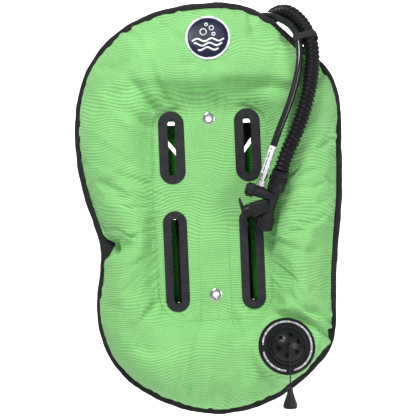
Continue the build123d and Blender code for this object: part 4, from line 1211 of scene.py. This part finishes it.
FLAP_Y = 31.1
for side_name, side in (("left", -1), ("right", 1)):
    outer = side * 74.0
    inner = side * 46.6
    middle = side * 59.5
    upper = [
        ("top", [(outer, 139.2), (inner, 139.2), (inner, 142), (outer, 142)]),
        ("middle", [(outer, 119), (inner, 83), (inner, 133.3), (outer, 133.3)]),
        ("bottom", [(outer, 50.5), (inner, 50.5), (inner, 73.6), (outer, 109.6)]),
    ]
    for part, corners in upper:
        # Painted shade: the black strip in the upper right slot is a dark sheet for the shadow deep inside the slot
        material = "webbing" if part == "middle" and side > 0 else "flap_cloth"
        flap_strip(f"upper_flap_{part}_{side_name}", corners, material, FLAP_Y)
    lower = [
        ("outboard", [(outer, -151), (middle, -151), (middle, -18), (outer, -18)], "flap_cloth"),
        # Painted shade: the black strip on each lower flap's inboard half is a dark sheet for the shadow deep inside
        # the slot
        ("painted_shade_strip", [(middle, -151), (inner, -151), (inner, -18), (middle, -18)], "webbing"),
    ]
    for part, corners, material in lower:
        flap_strip(f"lower_flap_{part}_{side_name}", corners, material, FLAP_Y)
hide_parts("slot_flaps")


# ---------------------------------------------------------------- badge
def on_front(x, z, lift):
    point, normal = drop(FRONT_SURFACE, x, z, -1)
    return point + normal * lift


def badge_ring(name, profile, material, node=None):
    """A disc or ring over the cloth from (radius, height above the cloth) pairs."""
    around = 96
    points = []
    for radius, lift in profile:
        for k in range(around):
            turn = 2 * pi * k / around
            points.append(on_front(BADGE[0] + radius * sin(turn), BADGE[1] + radius * cos(turn), lift))
    rows = len(profile)
    faces = grid_faces(rows, around)
    if profile[0][0] < 1:
        faces.append(list(range(around))[::-1])
        faces.append(list(range((rows - 1) * around, rows * around)))
    else:
        last = (rows - 1) * around
        faces += [[last + k, last + (k + 1) % around, (k + 1) % around, k] for k in range(around)]
    obj = piece(name, points, faces, material)
    if node:
        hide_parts(node)
    return obj


badge_ring("badge_disc", [(0.3, 1.3), (8, 1.3), (16, 1.3), (24, 1.3), (31.6, 1.3), (32.2, 1.0), (32.2, 0.1), (20, 0.1),
                          (8, 0.1), (0.3, 0.1)], "badge_film", "badge_face")
badge_ring("badge_band", [(31.9, 0.1), (31.9, 1.7), (32.5, 2.1), (34.6, 2.1), (35.3, 1.7), (35.5, 0.1)],
           "badge_rim", "badge_rim")


def ribbon(name, line, width, lift, material):
    """A thin raised strip over the cloth along (x, z) points, with rounded shoulders."""
    line = np.array(line, float)
    heading = np.gradient(line, axis=0)
    heading /= np.linalg.norm(heading, axis=1)[:, None]
    side = np.column_stack([heading[:, 1], -heading[:, 0]])
    section = [(-0.5, -0.3), (-0.5, 0.2), (-0.38, 0.35), (0.38, 0.35), (0.5, 0.2), (0.5, -0.3)]
    points = []
    for across, up in section:
        for (x, z), (sx, sz) in zip(line, side):
            points.append(on_front(x + sx * across * width, z + sz * across * width, lift + up))
    columns = len(line)
    rows = len(section)
    faces = grid_faces(rows, columns, wrap=False)
    last = (rows - 1) * columns
    faces += [[last + k, last + k + 1, k + 1, k] for k in range(columns - 1)]
    faces.append([row * columns for row in range(rows)])
    faces.append([row * columns + columns - 1 for row in range(rows)][::-1])
    return piece(name, points, faces, material)


for number, (level, reach) in enumerate(((-4, 25), (-11, 22), (-18, 16))):
    line = []
    for step in range(61):
        x = -reach + 2 * reach * step / 60
        line.append((BADGE[0] + x, BADGE[1] + level + 2.2 * sin(x / 3.6 + number)))
    ribbon(f"badge_wave_{number + 1}", line, 2.6, 1.35, "mark_white")
for number, (x, z, radius) in enumerate(((-7, 9, 5.0), (6, 15, 3.4), (9, 5, 2.4), (-2, 21, 2.2))):
    line = []
    for step in range(33):
        turn = 2 * pi * step / 32
        line.append((BADGE[0] + x + radius * cos(turn), BADGE[1] + z + radius * sin(turn)))
    ribbon(f"badge_bubble_{number + 1}", line, 1.4, 1.35, "mark_white")


# ---------------------------------------------------------------- marks on the dump valve's flange
def flange_marks():
    """Plain dashes and dots round the flange, where a maker would print."""
    across = Vector((cos(radians(7)), sin(radians(7)), 0))
    up = DUMP_NORMAL.cross(across)
    vertices = []
    faces = []
    pattern = [3, 1.2, 2, 1.2, 4, 1.2, 1.2, 1.2, 2.4, 2.6]
    turn = 0.0
    step = 0
    while turn < 356:
        sweep = pattern[step % len(pattern)]
        step += 1
        if 172 < turn < 188 or 262 < turn < 278:
            turn += sweep + 1.3
            continue
        base = len(vertices)
        for lift in (2.45, 2.72):
            for radius in (37.4, 40.2):
                for share in range(5):
                    angle = radians(turn + sweep * share / 4)
                    ray = across * cos(angle) + up * sin(angle)
                    vertices.append(DUMP_ORIGIN + DUMP_NORMAL * lift + ray * radius)
        for k in range(4):
            faces.append([base + 10 + k, base + 11 + k, base + 16 + k, base + 15 + k])
            faces.append([base + k, base + 5 + k, base + 6 + k, base + 1 + k])
            faces.append([base + k, base + 1 + k, base + 11 + k, base + 10 + k])
            faces.append([base + 5 + k, base + 15 + k, base + 16 + k, base + 6 + k])
        faces.append([base, base + 10, base + 15, base + 5])
        faces.append([base + 4, base + 9, base + 19, base + 14])
        turn += sweep + 1.3
    return piece("flange_marks", vertices, faces, "mark_white", smooth=False)


flange_marks()


def cap_ribs():
    """Fine radial ribs on the dump cap between its ports."""
    across = Vector((cos(radians(7)), sin(radians(7)), 0))
    up = DUMP_NORMAL.cross(across)
    vertices = []
    faces = []
    for number in range(12):
        centre = radians(30 * number + 15)
        ray = across * cos(centre) + up * sin(centre)
        side = DUMP_NORMAL.cross(ray)
        base = len(vertices)
        for radius, height in ((6, 20.2), (10, 19.4), (15, 17.3), (20, 14.2), (25.2, 9.8)):
            for offset, lift in ((-0.55, -0.6), (-0.4, 0.55), (0.4, 0.55), (0.55, -0.6)):
                vertices.append(DUMP_ORIGIN + ray * radius + DUMP_NORMAL * (height + lift) + side * offset)
        faces += [[v + base for v in face] for face in grid_faces(5, 4)]
        faces.append([base + 3, base + 2, base + 1, base])
        faces.append([base + 16, base + 17, base + 18, base + 19])
    return piece("dump_cap_ribs", vertices, faces, "valve_plastic")


cap_ribs()

# ---------------------------------------------------------------- backdrop and light
FLOOR_Z = -0.9
WALL_Y = 3.0


def backdrop():
    """A pale floor that sweeps up into a wall behind the object."""
    profile = [(-3.2, FLOOR_Z), (WALL_Y - 0.6, FLOOR_Z)]
    for step in range(1, 13):
        turn = pi / 2 * step / 12
        profile.append((WALL_Y - 0.6 + 0.6 * sin(turn), FLOOR_Z + 0.6 * (1 - cos(turn))))
    profile.append((WALL_Y, 2.6))
    points = [(x, y, z) for y, z in profile for x in (-3.5, 3.5)]
    faces = [[2 * k, 2 * k + 1, 2 * k + 3, 2 * k + 2] for k in range(len(profile) - 1)]
    mesh = bpy.data.meshes.new("backdrop")
    mesh.from_pydata(points, [], faces)
    mesh.polygons.foreach_set("use_smooth", [True] * len(mesh.polygons))
    material = node_material("backdrop", (0.88, 0.88, 0.88), 0.9)
    mesh.materials.append(material)
    obj = bpy.data.objects.new("backdrop", mesh)
    SCENE.collection.objects.link(obj)


backdrop()


def area_light(name, place_at, aim_at, size, power):
    light = bpy.data.lights.new(name, "AREA")
    light.size = size
    light.energy = power
    obj = bpy.data.objects.new(name, light)
    obj.location = place_at
    obj.rotation_euler = (Vector(aim_at) - Vector(place_at)).to_track_quat("-Z", "Y").to_euler()
    SCENE.collection.objects.link(obj)


area_light("key", (-0.6, -1.7, 2.0), (0, 0, 0), 0.7, 66)
area_light("fill", (1.9, -1.7, 0.2), (0, 0, 0), 1.2, 24)
area_light("back_left", (-1.6, 1.4, 1.2), (0, 0, 0), 1.0, 8)
area_light("wall_wash", (0, 2.2, 2.0), (0, WALL_Y, 1.0), 1.8, 150)
world = bpy.data.worlds.new("studio")
world.use_nodes = True
world.node_tree.nodes["Background"].inputs["Color"].default_value = (0.95, 0.97, 1.0, 1)
world.node_tree.nodes["Background"].inputs["Strength"].default_value = 0.3
SCENE.world = world
SCENE.view_settings.view_transform = "Standard"
